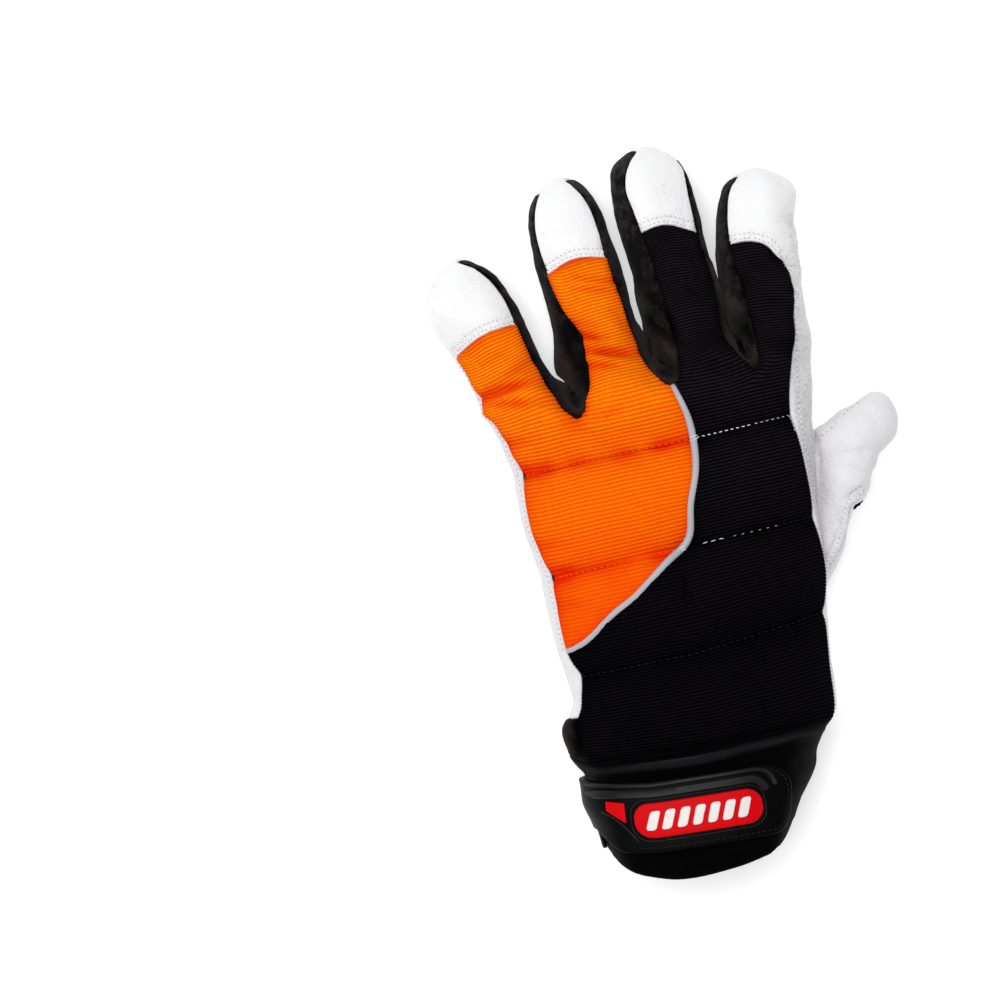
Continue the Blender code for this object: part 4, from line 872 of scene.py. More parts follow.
def panel_piece(name):
    """One panel as a closed wall with a finely worked outer face, displaced along its normals."""
    look = LOOKS[name]
    edges = panels.border(name)
    border = {(a, b) for a, b, _, _ in edges}
    edges = [edge for edge in edges if panels.owners[frozenset(edge[:2])] != {"cap_index", "palm"}]
    fine_rows = np.linspace(0, 1, look.rows + 1) if look.rows > 3 * look.columns / 2 else crowded(look.rows)
    fine_columns = crowded(look.columns)
    steps = (look.columns // INNER, look.rows // INNER) * 2
    coarse = fine_rows[::steps[1]], fine_columns[::steps[0]]
    outer, normals, inner, outer_faces, inner_faces, walls = [], [], [], [], [], []
    count_out = count_in = 0
    for patch in panels.of(name):
        outer.append(resampled(patch.points, fine_rows, fine_columns))
        normals.append(resampled(patch.normals, fine_rows, fine_columns))
        inner.append(resampled(patch.points - patch.normals * (look.wall * MM), *coarse))
        outer_grid = numbered(look.rows, look.columns, count_out)
        inner_grid = numbered(INNER, INNER, count_in)
        outer_faces.append(grid_faces(outer_grid))
        inner_faces.append(grid_faces(inner_grid, True))
        around = zip(sides(outer_grid), sides(inner_grid), steps, sides(patch.marks))
        for chain, low_chain, step, marks in around:
            if (marks[0], marks[1]) in border:
                for part in range(INNER):
                    top = chain[part * step:(part + 1) * step + 1][::-1]
                    walls.append((top, low_chain[part:part + 2]))
        count_out += outer_grid.size
        count_in += inner_grid.size
    outer, normals, inner = np.concatenate(outer), np.concatenate(normals), np.concatenate(inner)
    normals /= np.linalg.norm(normals, axis=1, keepdims=True)
    first, number = welded(outer)
    low_first, low_number = welded(inner)
    outer, normals, inner = outer[first], normals[first], inner[low_first]
    low_number += len(outer)
    distance = border_distance(outer, edges)
    moves = SHAPES[look.finish](name, outer, normals, distance)
    shaped = outer + normals * (moves - rolled(distance, look.roll * MM))[:, None]
    panels.skins[name] = (shaped, number[np.concatenate(outer_faces)])
    faces = number[np.concatenate(outer_faces)].tolist() + low_number[np.concatenate(inner_faces)].tolist()
    faces += [number[top].tolist() + low_number[low].tolist() for top, low in walls]
    faces = stitched(faces, np.concatenate((outer, inner)))
    mesh = built("shown_" + name, np.concatenate((shaped, inner)), faces)
    mesh.update()
    piece = add_piece("shown_" + name, mesh, look.finish)
    mesh.set_sharp_from_angle(angle=math.radians(55))
    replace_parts(piece, name)
    # Painted shade and painted highlight for each outer point, which the materials read
    values = np.zeros(len(mesh.vertices))
    values[:len(outer)] = painted_shading_values(look.finish, outer, normals, distance)
    mesh.attributes.new("hollow", "FLOAT", "POINT").data.foreach_set("value", values)
    if look.finish in RIB_PITCH:
        weave(mesh, look.finish, outer)
    return piece


def add_piece(name, mesh, finish):
    """A smooth piece that rides on the glove."""
    mesh.shade_smooth()
    mesh.materials.append(FINISHES[finish])
    piece = bpy.data.objects.new(name, mesh)
    bpy.context.scene.collection.objects.link(piece)
    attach(piece, "root")
    return piece


def weave(mesh, cloth, outer):
    """Coordinates of the knit, loops across and ribs along, as a UV map."""
    places = np.zeros((len(mesh.vertices), 2))
    places[:len(outer), 0] = outer[:, 0] / LOOP_PITCH
    places[:len(outer), 1] = rib_count(cloth, outer[:, 0], outer[:, 1])
    corners = np.empty(len(mesh.loops), int)
    mesh.loops.foreach_get("vertex_index", corners)
    mesh.uv_layers.new(name="weave").data.foreach_set("uv", places[corners].ravel())


def row_line(name):
    """The plan of a row across the back: its x and y values."""
    places = [spots[name, column] + shift for column in range(TOP_LAST + 1)]
    return [place.x for place in places], [place.y for place in places]


def rib_count(cloth, x, y):
    """The number of knit ribs below each place, counted from the wrist."""
    pitch = RIB_PITCH[cloth]
    lines = [np.interp(x, *row_line(name)) for name in SEAM_ROWS]
    count = np.zeros_like(x)
    total = 0.0
    for low, high in zip(lines, lines[1:]):
        ribs = (high - low).mean() / pitch
        count += np.clip((y - low) / (high - low), 0, 1) * ribs
        total += ribs
    count += np.maximum(y - lines[-1], 0) / pitch
    turned = np.zeros_like(x)
    share = np.zeros_like(x)
    for finger in FINGERS:
        lean = math.radians(finger.lean)
        base_x = finger.x * FINGER_WIDTH + shift.x
        base_y = finger.y * PALM_LENGTH + shift.y
        dx, dy = x - base_x, y - base_y
        along = dx * math.sin(lean) + dy * math.cos(lean)
        sideways = (dx * math.cos(lean) - dy * math.sin(lean)) / (0.55 * FINGER_WIDTH)
        part = smooth_step(-8 * MM, 16 * MM, along) * np.exp(-sideways ** 4)
        along = along + RIB_BOW * sideways ** 2 * smooth_step(0, 40 * MM, along)
        along = along + 0.22 * np.maximum(0, along - 4 * MM)
        base = (base_y - np.interp(base_x, *row_line(SEAM_ROWS[-1]))) / pitch
        turned += part * ((total + base + along / pitch) - count)
        share += part
    plan = np.stack((x, y, np.zeros_like(x)), axis=-1)
    waves = ripple(plan, 13 * MM, 51.0) * (0.35 + 0.65 * np.clip(share, 0, 1))
    return count + turned / np.maximum(1.0, share) + waves


def seam_distance(points):
    """How far each place lies along the glove from the nearest quilting seam."""
    x, y = points[:, 0], points[:, 1]
    return np.min([abs(y - np.interp(x, *row_line(name))) for name in SEAM_ROWS[1:]], axis=0)


def painted_shading_values(finish, points, normals, distance):
    """Painted shading for each place, up to 1: painted shade near the quilting seams, in folds and along
    panel edges of the knit, and along stitch rows, in folds and over the wrinkled side band of the leather,
    where it also sets the wrinkles' bump; bulges of plain cloths are below 0, for a painted highlight.
    """
    folds = -fold_depth(points, normals) / (1.3 * MM)
    # Leather: painted shade along the stitch rows, in folds and over the wrinkled side band; the value also
    # sets the wrinkles' bump
    if finish == "white_leather":
        x, y = ((points[:, :2] - np.array(shift[:2])) / MM).T
        band = smooth_step(40, 44, x) * smooth_step(58, 54, x)
        band *= smooth_step(-20, 0, y) * smooth_step(104, 96, y)
        band *= 1 - smooth_step(48, 54, x) * smooth_step(45, 35, y)
        band *= (1 - smooth_step(82, 88, y) * smooth_step(53, 49, x)) * smooth_step(-0.4, 0.5, normals[:, 2])
        sewn = 0.38 * bell(distances(row_tree, points), 1.6 * MM)
        return np.clip(sewn + 0.75 * band + np.clip(0.5 * folds, 0, 0.2), 0, 1)
    # Plain cloths: painted shade in folds, and a painted highlight on bulges, below 0
    if finish not in RIB_PITCH:
        return np.clip(folds, -1, 1)
    # Knit: painted shade near the quilting seams, in folds and along the panel edges, varied at random
    seam = seam_distance(points)
    edge = np.exp(-distance / (1.4 * MM)) + 0.4 * np.exp(-distance / (6 * MM))
    uneven = 0.75 + 0.6 * ripple(points, 8 * MM, 31.0)
    sewn = 0.8 * np.exp(-seam / (1.5 * MM)) + 0.4 * np.exp(-seam / (6 * MM))
    return np.clip(sewn * uneven + np.clip(0.6 * folds, 0, 0.8) + 0.75 * edge * uneven, 0, 1)


def knit_shape(name, points, normals, distance):
    """Ribs, quilting and puckers of the padded back."""
    phase = 2 * np.pi * rib_count(LOOKS[name].finish, points[:, 0], points[:, 1])
    ribs = RIB_HEIGHT * (0.5 - 0.5 * np.cos(phase))
    if name == "thumb_back":
        away = np.linalg.norm(points[:, :2] - np.array((61.5 * MM, -6.5 * MM)) - np.array(shift[:2]), axis=1)
        return ribs + (2.2 * bell(away, 4.5 * MM) - 1.5) * MM
    seam = seam_distance(points)
    groove = SEAM_DEPTH * np.exp(-seam / SEAM_WIDTH) - PUFF * (1 - bell(seam, 5 * SEAM_WIDTH))
    near = np.exp(-seam / (4 * MM)) + 0.8 * np.exp(-distance / (5 * MM))
    crease = ripple(points * np.array((1.0, 0.25, 1.0)), 5 * MM) * PUCKER * near
    broad = ripple(points, 24 * MM, 3.0) * 0.5 * MM
    return ribs - groove + crease + broad + fold_depth(points, normals)


def leather_shape(name, points, normals, distance):
    """Soft creases of the leather, and the dips where it is sewn."""
    uneven = sum(ripple(points, size * MM, seed) * depth * MM
                 for size, seed, depth in ((16, 7.0, 0.30), (5, 11.0, 0.14), (1.8, 17.0, 0.07)))
    edge = ripple(points * np.array((1.0, 0.6, 1.0)), 3 * MM, 5.0) * 0.22 * MM * np.exp(-distance / (3 * MM))
    sewn = distances(row_tree, points)
    pits = 0.45 * MM * bell(sewn, 0.5 * MM)
    gather = ripple(points, 2.3 * MM, 41.0) * 0.34 * MM * bell(sewn, 2.4 * MM)
    lower = 1 - 0.6 * (normals[:, 2] < -0.5)
    return (uneven + edge) * lower + gather - pits + fold_depth(points, normals)


def cloth_shape(name, points, normals, distance):
    """The limp strips between the fingers and the stiffer cuff."""
    broad, small = (0.5, 0.18) if name == "cuff" else (0.75, 0.288)
    uneven = ripple(points, 12 * MM, 21.0) * broad * MM + ripple(points, 4 * MM, 23.0) * small * MM
    return uneven + fold_depth(points, normals)


def fold_depth(points, normals):
    """How far the folds move the sides and the upper surface out."""
    total = np.zeros(len(points))
    plan = points[:, :2] - np.array(shift[:2])
    for x, y, to_x, to_y, width, depth in FOLDS:
        start = np.array((x, y)) * MM
        run = np.array((to_x, to_y)) * MM - start
        share = np.clip((plan - start) @ run / (run @ run), 0, 1)
        away = np.linalg.norm(plan - start - share[:, None] * run, axis=1)
        total -= depth * MM * bell(away, width * MM) * (0.4 + 0.6 * np.sin(np.pi * share))
    return total * smooth_step(-0.7, 0.1, normals[:, 2])


SHAPES = {"orange_knit": knit_shape, "black_knit": knit_shape, "white_leather": leather_shape,
          "black_suede": cloth_shape, "neoprene": cloth_shape}


class Nodes:
    """A small helper that builds one material."""

    def __init__(self, name, roughness, specular, sheen=0.0):
        self.material = bpy.data.materials.new(name)
        self.material.use_nodes = True
        self.tree = self.material.node_tree
        self.shader = self.tree.nodes["Principled BSDF"].inputs
        self.shader["Roughness"].default_value = roughness
        self.shader["Specular IOR Level"].default_value = specular
        self.shader["Sheen Weight"].default_value = sheen
        self.place = self.add("ShaderNodeTexCoord").outputs["Object"]

    def add(self, kind, **settings):
        node = self.tree.nodes.new(kind)
        for key, value in settings.items():
            setattr(node, key, value)
        return node

    def feed(self, socket, value):
        """A number, a colour or another node's output goes into a socket."""
        if isinstance(value, tuple):
            socket.default_value = (*value, 1.0)
        elif isinstance(value, (int, float)):
            socket.default_value = value
        else:
            self.tree.links.new(value, socket)

    def parts(self, vector):
        split = self.add("ShaderNodeSeparateXYZ")
        self.feed(split.inputs[0], vector)
        return split.outputs

    def rising(self, start, end):
        """0 up to one place along the glove and 1 from another on."""
        slope = 1 / (end - start)
        return self.math("MULTIPLY_ADD", self.parts(self.place)["Y"], slope, -start / (end - start), True)

    def math(self, operation, first, second=0.5, third=0.5, clamp=False):
        node = self.add("ShaderNodeMath", operation=operation, use_clamp=clamp)
        for socket, value in zip(node.inputs, (first, second, third)):
            self.feed(socket, value)
        return node.outputs[0]

    def noise(self, size, detail=3.0, roughness=0.5, place=None):
        node = self.add("ShaderNodeTexNoise")
        for key, value in (("Scale", 1 / size), ("Detail", detail), ("Roughness", roughness),
                           ("Vector", place or self.place)):
            self.feed(node.inputs[key], value)
        return node.outputs["Fac"]

    def blend(self, share, low, high):
        node = self.add("ShaderNodeMix", data_type="RGBA")
        for number, value in ((0, share), (6, low), (7, high)):
            self.feed(node.inputs[number], value)
        return node.outputs[2]

    def hollow(self):
        """The painted shading of a place: painted shade in seams, folds and edges, and below 0 a painted
        highlight on the bulges of plain cloths.
        """
        return self.add("ShaderNodeAttribute", attribute_name="hollow").outputs["Fac"]

    def finish(self, colour, height, depth, strength=1.0):
        """The material with its colour and its bump."""
        self.feed(self.shader["Base Color"], colour)
        node = self.add("ShaderNodeBump")
        for key, value in (("Strength", strength), ("Distance", depth), ("Height", height)):
            self.feed(node.inputs[key], value)
        self.feed(self.shader["Normal"], node.outputs[0])
        return self.material


def knit(name, lit_crest, shaded_crest, valley_shade, seam_fold_shade, specular, sharp):
    """Ribbed knit with small loops along each rib, coloured with painted light: a painted highlight on the
    crests that grows brighter towards the fingers, painted shade in the rib valleys and between loops, and
    painted shade in seams, folds and edges.
    """
    made = Nodes(name, 0.85, specular)
    split = made.parts(made.add("ShaderNodeUVMap", uv_map="weave").outputs[0])
    rib, loop = (made.math("ABSOLUTE", made.math("SINE", made.math("MULTIPLY", split[axis], math.pi)))
                 for axis in "YX")
    beads = made.math("MULTIPLY_ADD", loop, 0.4 + 0.2 * sharp, 0.6 - 0.2 * sharp)
    height = made.math("MULTIPLY", made.math("POWER", rib, 0.8 * sharp), beads)
    uneven = made.math("MULTIPLY_ADD", made.noise(2.2 * MM, 4.0), 0.7, 0.65)
    # Painted light: painted shade in the rib valleys and between loops, a painted highlight on the crests,
    # brighter towards the fingers
    cloth = made.blend(made.math("MULTIPLY", height, uneven), valley_shade,
                       made.blend(made.rising(-40 * MM, 60 * MM), shaded_crest, lit_crest))
    fuzz = made.math("MULTIPLY", made.noise(0.25 * MM), 0.3)
    # Painted shade in seams, folds and edges
    return made.finish(made.blend(made.math("MULTIPLY", made.hollow(), 0.85), cloth, seam_fold_shade),
                       made.math("ADD", height, fuzz), 0.25 * MM)


def leather(name, fingers, light, dark, crease):
    """Soft goat leather with a small grain and a random tone; painted light makes it a little lighter on the
    fingers than on the palm and thumb, and painted shade runs along its wrinkles.
    """
    made = Nodes(name, 0.5, 0.2)
    hand = made.blend(made.noise(7 * MM, 5.0), dark, light)
    # Painted light: lighter on the fingers than on the palm and thumb
    whole = made.blend(made.rising(50 * MM, 80 * MM), hand, fingers)
    broad = made.math("MULTIPLY", made.noise(2.6 * MM, 3.0), 0.9)
    grain = made.math("ADD", made.noise(0.8 * MM, 2.0, 0.5), broad)
    creased = made.add("ShaderNodeMapping")
    creased.inputs["Scale"].default_value = (1.0, 2.6, 1.0)
    made.feed(creased.inputs["Vector"], made.place)
    wrinkles = made.noise(2.4 * MM, 4.0, 0.6, creased.outputs[0])
    crumple_shade = made.hollow()
    height = made.math("MULTIPLY_ADD", made.math("MULTIPLY", crumple_shade, wrinkles), 3.6, grain)
    # Painted shade along the wrinkles where the leather is crumpled
    lines = made.math("MULTIPLY", crumple_shade, made.math("MULTIPLY_ADD", wrinkles, -4.0, 2.1), clamp=True)
    return made.finish(made.blend(lines, whole, crease), height, 0.42 * MM, 0.9)


def napped(name, light, shaded_far_light, dark, specular, mottle):
    """A matt cloth with a short nap and a mottled tone, with a painted highlight on its bulges and painted
    shade in its folds; where its two light colours differ, painted light also makes it lighter towards the
    fingertips.
    """
    made = Nodes(name, 0.9, specular, 0.06)
    nap = made.math("MULTIPLY_ADD", made.noise(4.0 * MM, 6.0, 0.7), 2.0 * mottle, -0.84 * mottle)
    # Painted highlight on bulges and painted shade in folds
    lit = made.math("SUBTRACT", nap, made.hollow(), clamp=True)
    # Painted light: lighter towards the fingertips
    colour = made.blend(lit, dark, made.blend(made.rising(62 * MM, 105 * MM), shaded_far_light, light))
    return made.finish(colour, made.noise(0.4 * MM, 4.0), 0.3 * MM, 0.9)


def moulded(name, colour, roughness, specular):
    """Moulded rubber or thread with a faint unevenness."""
    made = Nodes(name, roughness, specular)
    return made.finish(colour, made.noise(1.2 * MM, 3.0), 0.05 * MM, 0.5)


FINISHES = {name: make(name, *values) for make, name, *values in (
    # Knits: the lit and shaded colours of the crests, the shade of the rib valleys and the shade of seams and
    # folds are all painted light and shade
    (knit, "orange_knit", (1.0, 0.37, 0.002), (0.93, 0.125, 0.001), (0.88, 0.06, 0.001), (0.72, 0.008, 0.001),
     0.02, 1.2),
    (knit, "black_knit", (0.021, 0.0175, 0.025), (0.0075, 0.0062, 0.0088), (0.0001, 0.0001, 0.0002),
     (0.0001, 0.0001, 0.0002), 0.01, 2.0),
    # Leather: the finger colour is painted light, the two hand colours a random tone, the crease colour
    # painted shade
    (leather, "white_leather", (0.845, 0.845, 0.855), (0.77, 0.76, 0.78), (0.72, 0.71, 0.73),
     (0.56, 0.55, 0.57)),
    # Napped cloths: the light colours are painted highlight and painted light, the dark colour their tone and
    # the painted shade of folds
    (napped, "black_suede", (0.06, 0.054, 0.056), (0.024, 0.015, 0.0145), (0.0005, 0.0001, 0.0001),
     0.012, 1.0),
    (napped, "neoprene", (0.009, 0.008, 0.0095), (0.009, 0.008, 0.0095), (0.0001, 0.0001, 0.0002),
     0.008, 0.15),
    (moulded, "strap_rubber", (0.0004, 0.0004, 0.0005), 0.45, 0.05),
    (moulded, "grey_rubber", (0.004, 0.004, 0.0045), 0.42, 0.19),
    (moulded, "red_rubber", (0.6, 0.0006, 0.0035), 0.45, 0.05),
    (moulded, "cream_rubber", (0.86, 0.62, 0.4), 0.45, 0.4),
    (moulded, "grey_piping", (0.4, 0.4, 0.44), 0.5, 0.3),
    (moulded, "white_rubber", (0.76, 0.7, 0.68), 0.4, 0.3),
    (moulded, "white_thread", (0.84, 0.84, 0.85), 0.6, 0.2),
    (moulded, "orange_thread", (0.85, 0.12, 0.002), 0.7, 0.1),
    (moulded, "black_thread", (0.009, 0.009, 0.01), 0.5, 0.15),
    # Grey for the painted shade of each needle hole, also used for faint grey thread
    (moulded, "needle_hole", (0.44, 0.44, 0.45), 0.9, 0.05),
)}

for row in CUFF_ROWS + HAND_ROWS:
    add_row(row)
add_knuckles()
add_hand_faces()
for number, finger in enumerate(FINGERS):
    add_finger(number, finger)
add_thumb()
patches, shift = fine_patches(fitted_places())
panels = Panels(patches)


def chained(edges):
    """Border edges joined end to end into the longest line of points."""
    following = {a: (b, start, end) for a, b, start, end in edges}
    best = []
    heads = set(following) - {b for b, _, _ in following.values()}
    for at in sorted(heads) or sorted(following)[:1]:
        line = [following[at][1]]
        while at in following:
            at, _, end = following.pop(at)
            line.append(end)
        if len(line) > len(best):
            best = line
    return [Vector(point) for point in best]


def evenly(line, pitch, start=0.0):
    """Points at even distances along a line, with the direction of the line there."""
    found = []
    left = start
    for a, b in zip(line, line[1:]):
        length = (b - a).length
        while left <= length and length > 0:
            found.append((a.lerp(b, left / length), (b - a) / length))
            left += pitch
        left -= length
    return found


def softened(line, rounds=4):
    """A line of points with its corners eased."""
    for _ in range(rounds):
        middle = [(a + b * 2 + c) / 4 for a, b, c in zip(line, line[1:], line[2:])]
        line = [line[0], *middle, line[-1]]
    return line


def curved(corners, steps=10):
    """A smooth line through a few corners."""
    table = weights(np.linspace(0, 1, steps * (len(corners) - 1) + 1), len(corners) - 1)
    return [Vector(point) for point in table @ np.array([tuple(corner) for corner in corners])]


def heading(line, index):
    """The direction of a line at one of its points."""
    return (line[min(index + 1, len(line) - 1)] - line[max(index - 1, 0)]).normalized()


def tube(line, radius, sides=12):
    """Points and faces of a closed cord with rounded ends along a line that lies on the glove's back."""
    rings = []
    for index, point in enumerate(line):
        ahead = heading(line, index)
        across = ahead.cross(Vector((0, 0, 1))).normalized()
        rise = across.cross(ahead)
        places = [(point, radius)]
        if index in (0, len(line) - 1):
            sign = -1 if index == 0 else 1
            places = [(point + ahead * sign * radius * (1 - share), radius * size)
                      for share, size in ((0.02, 0.25), (0.3, 0.72), (0.65, 0.94))][::-sign]
        for place, size in places:
            rings.append([place + (across * math.cos(turn) + rise * math.sin(turn)) * size
                          for turn in (2 * math.pi * side / sides for side in range(sides))])
    points = [tuple(point) for ring in rings for point in ring]
    faces = [tuple(range(sides))[::-1]]
    for ring in range(len(rings) - 1):
        for side in range(sides):
            a = ring * sides + side
            b = ring * sides + (side + 1) % sides
            faces.append((a, b, b + sides, a + sides))
    faces.append(tuple(range(len(points) - sides, len(points))))
    return points, faces


# Stitches: corners round their section, and their shape as places along, sizes and rises
STITCH_SIDES = 6
STITCH = ((-0.5, 0.35, -0.9), (-0.32, 0.9, -0.1), (0.0, 1.0, 0.15), (0.32, 0.9, -0.1), (0.5, 0.35, -0.9))


class Thread:
    """Many small stitches that make one piece."""

    def __init__(self):
        self.points = []
        self.faces = []

    def stitch(self, middle, along, up, length, radius):
        """One stitch: a short rounded bar that dips at both ends."""
        across = along.cross(up).normalized()
        first = len(self.points)
        for share, size, rise in STITCH:
            centre = middle + along * share * length + up * rise * radius
            for side in range(STITCH_SIDES):
                turn = 2 * math.pi * side / STITCH_SIDES
                arm = across * math.cos(turn) + up * math.sin(turn)
                self.points.append(tuple(centre + arm * size * radius))
        for ring in range(len(STITCH) - 1):
            for side in range(STITCH_SIDES):
                a = first + ring * STITCH_SIDES + side
                b = first + ring * STITCH_SIDES + (side + 1) % STITCH_SIDES
                self.faces.append((a, a + STITCH_SIDES, b + STITCH_SIDES, b))
        self.faces.append(tuple(range(first, first + STITCH_SIDES)))
        self.faces.append(tuple(range(len(self.points) - STITCH_SIDES, len(self.points)))[::-1])

    def row(self, line, skin, pitch, share, radius, sink=0.1, wander=0.0, start=0.0, down=None):
        """A row of stitches along a line, laid on a skin."""
        for number, (at, along) in enumerate(evenly(line, pitch, start)):
            hit = skin.ray_cast(at - down * 60 * MM, down) if down else skin.find_nearest(at)
            spot, normal = hit[:2]
            if spot is None:
                continue
            turned = (along - normal * along.dot(normal)).normalized()
            if wander:
                swing = noise.noise(Vector((number * 0.73, at.x * 900, at.y * 700))) * wander
                turned = (Matrix.Rotation(swing, 3, normal) @ turned).normalized()
            self.stitch(spot - normal * sink * radius, turned, normal, pitch * share, radius)

    def piece(self, name, finish, slot):
        return add_piece(name, built(name, self.points, self.faces), finish)


# Steps of half a turn in which the way round the cuff is measured
WRAP_STEPS = 160


class Wrap:
    """Bends flat solids round the cuff: across from the little finger's edge, along, and out from it."""

    def __init__(self, tree):
        self.tree = tree
        left, right, top = (sum(values) / 2 for values in zip(*((row.left, row.right, row.top)
                                                                for row in CUFF_ROWS[1:3])))
        left, right, self.top = left * FINGER_WIDTH, right * FINGER_WIDTH, top * CUFF_HEIGHT
        self.centre = (left + right) / 2
        self.half = (right - left) / 2
        self.bottom = STRAP_RISE
        self.angles = self.measured_angles()

    def loop_point(self, angle):
        """A place on the cuff's mean section: angle 0 at the little finger's edge, growing over the back."""
        belly = mix(self.bottom, self.top, BELLY)
        sine, cosine = math.sin(angle), math.cos(angle)
        reach, power = (self.top - belly, 2 / SQUARENESS) if sine > 0 else (belly - self.bottom, 2 / 3.2)
        x = self.centre - self.half * math.copysign(abs(cosine) ** power, cosine)
        return Vector((x, 0, belly + reach * math.copysign(abs(sine) ** power, sine)))

    def measured_angles(self):
        """Arc lengths along the mean section at small steps of the angle."""
        table = [(0.0, 0.0)]
        for sign in (1, -1):
            length = 0.0
            last = self.loop_point(0)
            for step in range(1, WRAP_STEPS + 1):
                angle = sign * math.pi * step / WRAP_STEPS
                at = self.loop_point(angle)
                length += (at - last).length
                table.append((sign * length, angle))
                last = at
        return sorted(table)

    def at(self, u, v, out):
        """The place u round the cuff and out from its surface, v from the strap's drifting middle line."""
        angle = ramp(u, self.angles)
        guide = self.loop_point(angle)
        drift = ramp(u, ((-STRAP_PALM, 0.6), (0.0, 0.22), (0.4 * STRAP_BACK, -0.4)))
        guide.y = CUFF_Y - 0.43 * CUFF_LENGTH + v + STRAP_DRIFT * drift
        ahead = self.loop_point(angle + 0.05) - self.loop_point(angle - 0.05)
        outward = Vector((-ahead.z, 0, ahead.x)).normalized()
        start = guide + outward * FINGER_WIDTH + shift
        hit = self.tree.ray_cast(start, -outward)[0] or self.tree.find_nearest(start)[0]
        return hit + outward * out


def flat_solid(outline, low, high, edge=0.0):
    """A closed solid from a flat outline, between two heights, with its upper edge rounded."""
    made = bmesh.new()
    face = made.faces.new([made.verts.new((x, y, low)) for x, y in outline])
    lifted = bmesh.ops.extrude_face_region(made, geom=[face])
    raised = [item for item in lifted["geom"] if isinstance(item, bmesh.types.BMVert)]
    bmesh.ops.translate(made, verts=raised, vec=(0, 0, high - low))
    bmesh.ops.recalc_face_normals(made, faces=made.faces)
    if edge:
        rim = [item for item in made.edges if all(vertex.co.z > (low + high) / 2 for vertex in item.verts)]
        bmesh.ops.bevel(made, geom=rim, offset=edge, segments=3, profile=0.5, affect="EDGES",
                        clamp_overlap=True)
    return made


def sliced(made, step=1.2 * MM, cross_step=1.6 * MM):
    """Cuts a flat solid along and across at even steps, so that it can bend."""
    for axis, length in ((0, step), (1, cross_step)):
        along = [vertex.co[axis] for vertex in made.verts]
        count = max(1, round((max(along) - min(along)) / length))
        normal = Vector((0, 0, 0))
        normal[axis] = 1.0
        for number in range(1, count):
            place = normal * mix(min(along), max(along), number / count)
            geometry = made.verts[:] + made.edges[:] + made.faces[:]
            bmesh.ops.bisect_plane(made, geom=geometry, plane_co=place, plane_no=normal, dist=1e-6)
    return made


def rounded(corners, radii, steps=8):
    """An outline with its corners rounded, by one radius or each by its own."""
    made = []
    count = len(corners)
    for number, radius in enumerate(radii if isinstance(radii, list) else [radii] * count):
        at = Vector(corners[number])
        before = (Vector(corners[number - 1]) - at).normalized()
        after = (Vector(corners[(number + 1) % count]) - at).normalized()
        half = before.angle(after) / 2
        reach = radius / math.tan(half)
        centre = at + (before + after).normalized() * (radius / math.sin(half))
        start = at + before * reach - centre
        end = at + after * reach - centre
        turn = start.angle_signed(end)
        for step in range(steps + 1):
            made.append(tuple(centre + Matrix.Rotation(-turn * step / steps, 2) @ start))
    return made


def moved(outline, u, v=0.0):
    """An outline moved to its place on the strap, whose middle line is v = 0."""
    return [(x + u, y + v) for x, y in outline]


def box_outline(length, width):
    """A rectangle about the origin."""
    return [(x * length / 2, y * width / 2) for x, y in ((-1, -1), (1, -1), (1, 1), (-1, 1))]


def hexagon(side):
    """A regular hexagon with two flats across the strap."""
    angles = [math.pi * (0.5 + number / 3) for number in range(6)]
    return [(side * math.cos(angle), side * math.sin(angle)) for angle in angles]


def ribbon(line, width, low, high, edge=0.35 * MM):
    """A flat band with rounded upper edges and tapered ends along a line in plan."""
    made = bmesh.new()
    half = width / 2
    section = ((-half, low), (-half, high - edge), (edge - half, high),
               (half - edge, high), (half, high - edge), (half, low))
    rings = []
    for index, point in enumerate(line):
        ahead = heading(line, index)
        narrow = min(1.0, 0.35 + 0.3 * min(index, len(line) - 1 - index))
        places = [(point.x - ahead.y * side * narrow, point.y + ahead.x * side * narrow, rise)
                  for side, rise in section]
        rings.append([made.verts.new(place) for place in places])
    for ring, after in zip(rings, rings[1:]):
        for side in range(6):
            made.faces.new((ring[side], ring[(side + 1) % 6], after[(side + 1) % 6], after[side]))
    made.faces.new(rings[0])
    made.faces.new(rings[-1][::-1])
    return made


def strap_piece(name, made, finish, replaced=None, cut=True):
    """A flat solid bent round the cuff and shown with its finish."""
    if cut:
        sliced(made)
    for vertex in made.verts:
        vertex.co = wrap.at(*vertex.co)
    bmesh.ops.recalc_face_normals(made, faces=made.faces)
    mesh = bpy.data.meshes.new(name)
    made.to_mesh(mesh)
    made.free()
    piece = add_piece(name, mesh, finish)
    mesh.set_sharp_from_angle(angle=math.radians(40))
    if replaced:
        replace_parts(piece, replaced)
    return piece


def welt(name, outline, height, radius, finish="grey_rubber"):
    """A thin raised line on the strap."""
    line = [wrap.at(*point) for point, _ in evenly([Vector((u, v, height)) for u, v in outline], 0.8 * MM)]
    add_piece(name, built(name, *tube(line, radius, 8)), finish)


def add_strap_stitches(half, top):
    """The row of stitches round the strap's end and along its lower edge."""
    inset = 1.7 * MM
    end_radius = STRAP_END_RADIUS - inset
    shape = rounded([(STRAP_BACK - 12 * MM, half - inset), (STRAP_BACK - inset, half - inset),
                     (STRAP_BACK - inset, inset - half), (26 * MM, inset - half)],
                    [0.1 * MM, end_radius, end_radius, 0.1 * MM])
    sewn = Thread()
    for at, ahead in evenly([Vector((u, v, 0)) for u, v in shape], 2.0 * MM):
        here, there = wrap.at(at.x, at.y, top), wrap.at(at.x + ahead.x * MM, at.y + ahead.y * MM, top)
        above = wrap.at(at.x, at.y, top + MM)
        sewn.stitch(here, (there - here).normalized(), (above - here).normalized(), 1.3 * MM, 0.2 * MM)
    sewn.piece("strap_stitches", "black_thread", "strap_rubber")


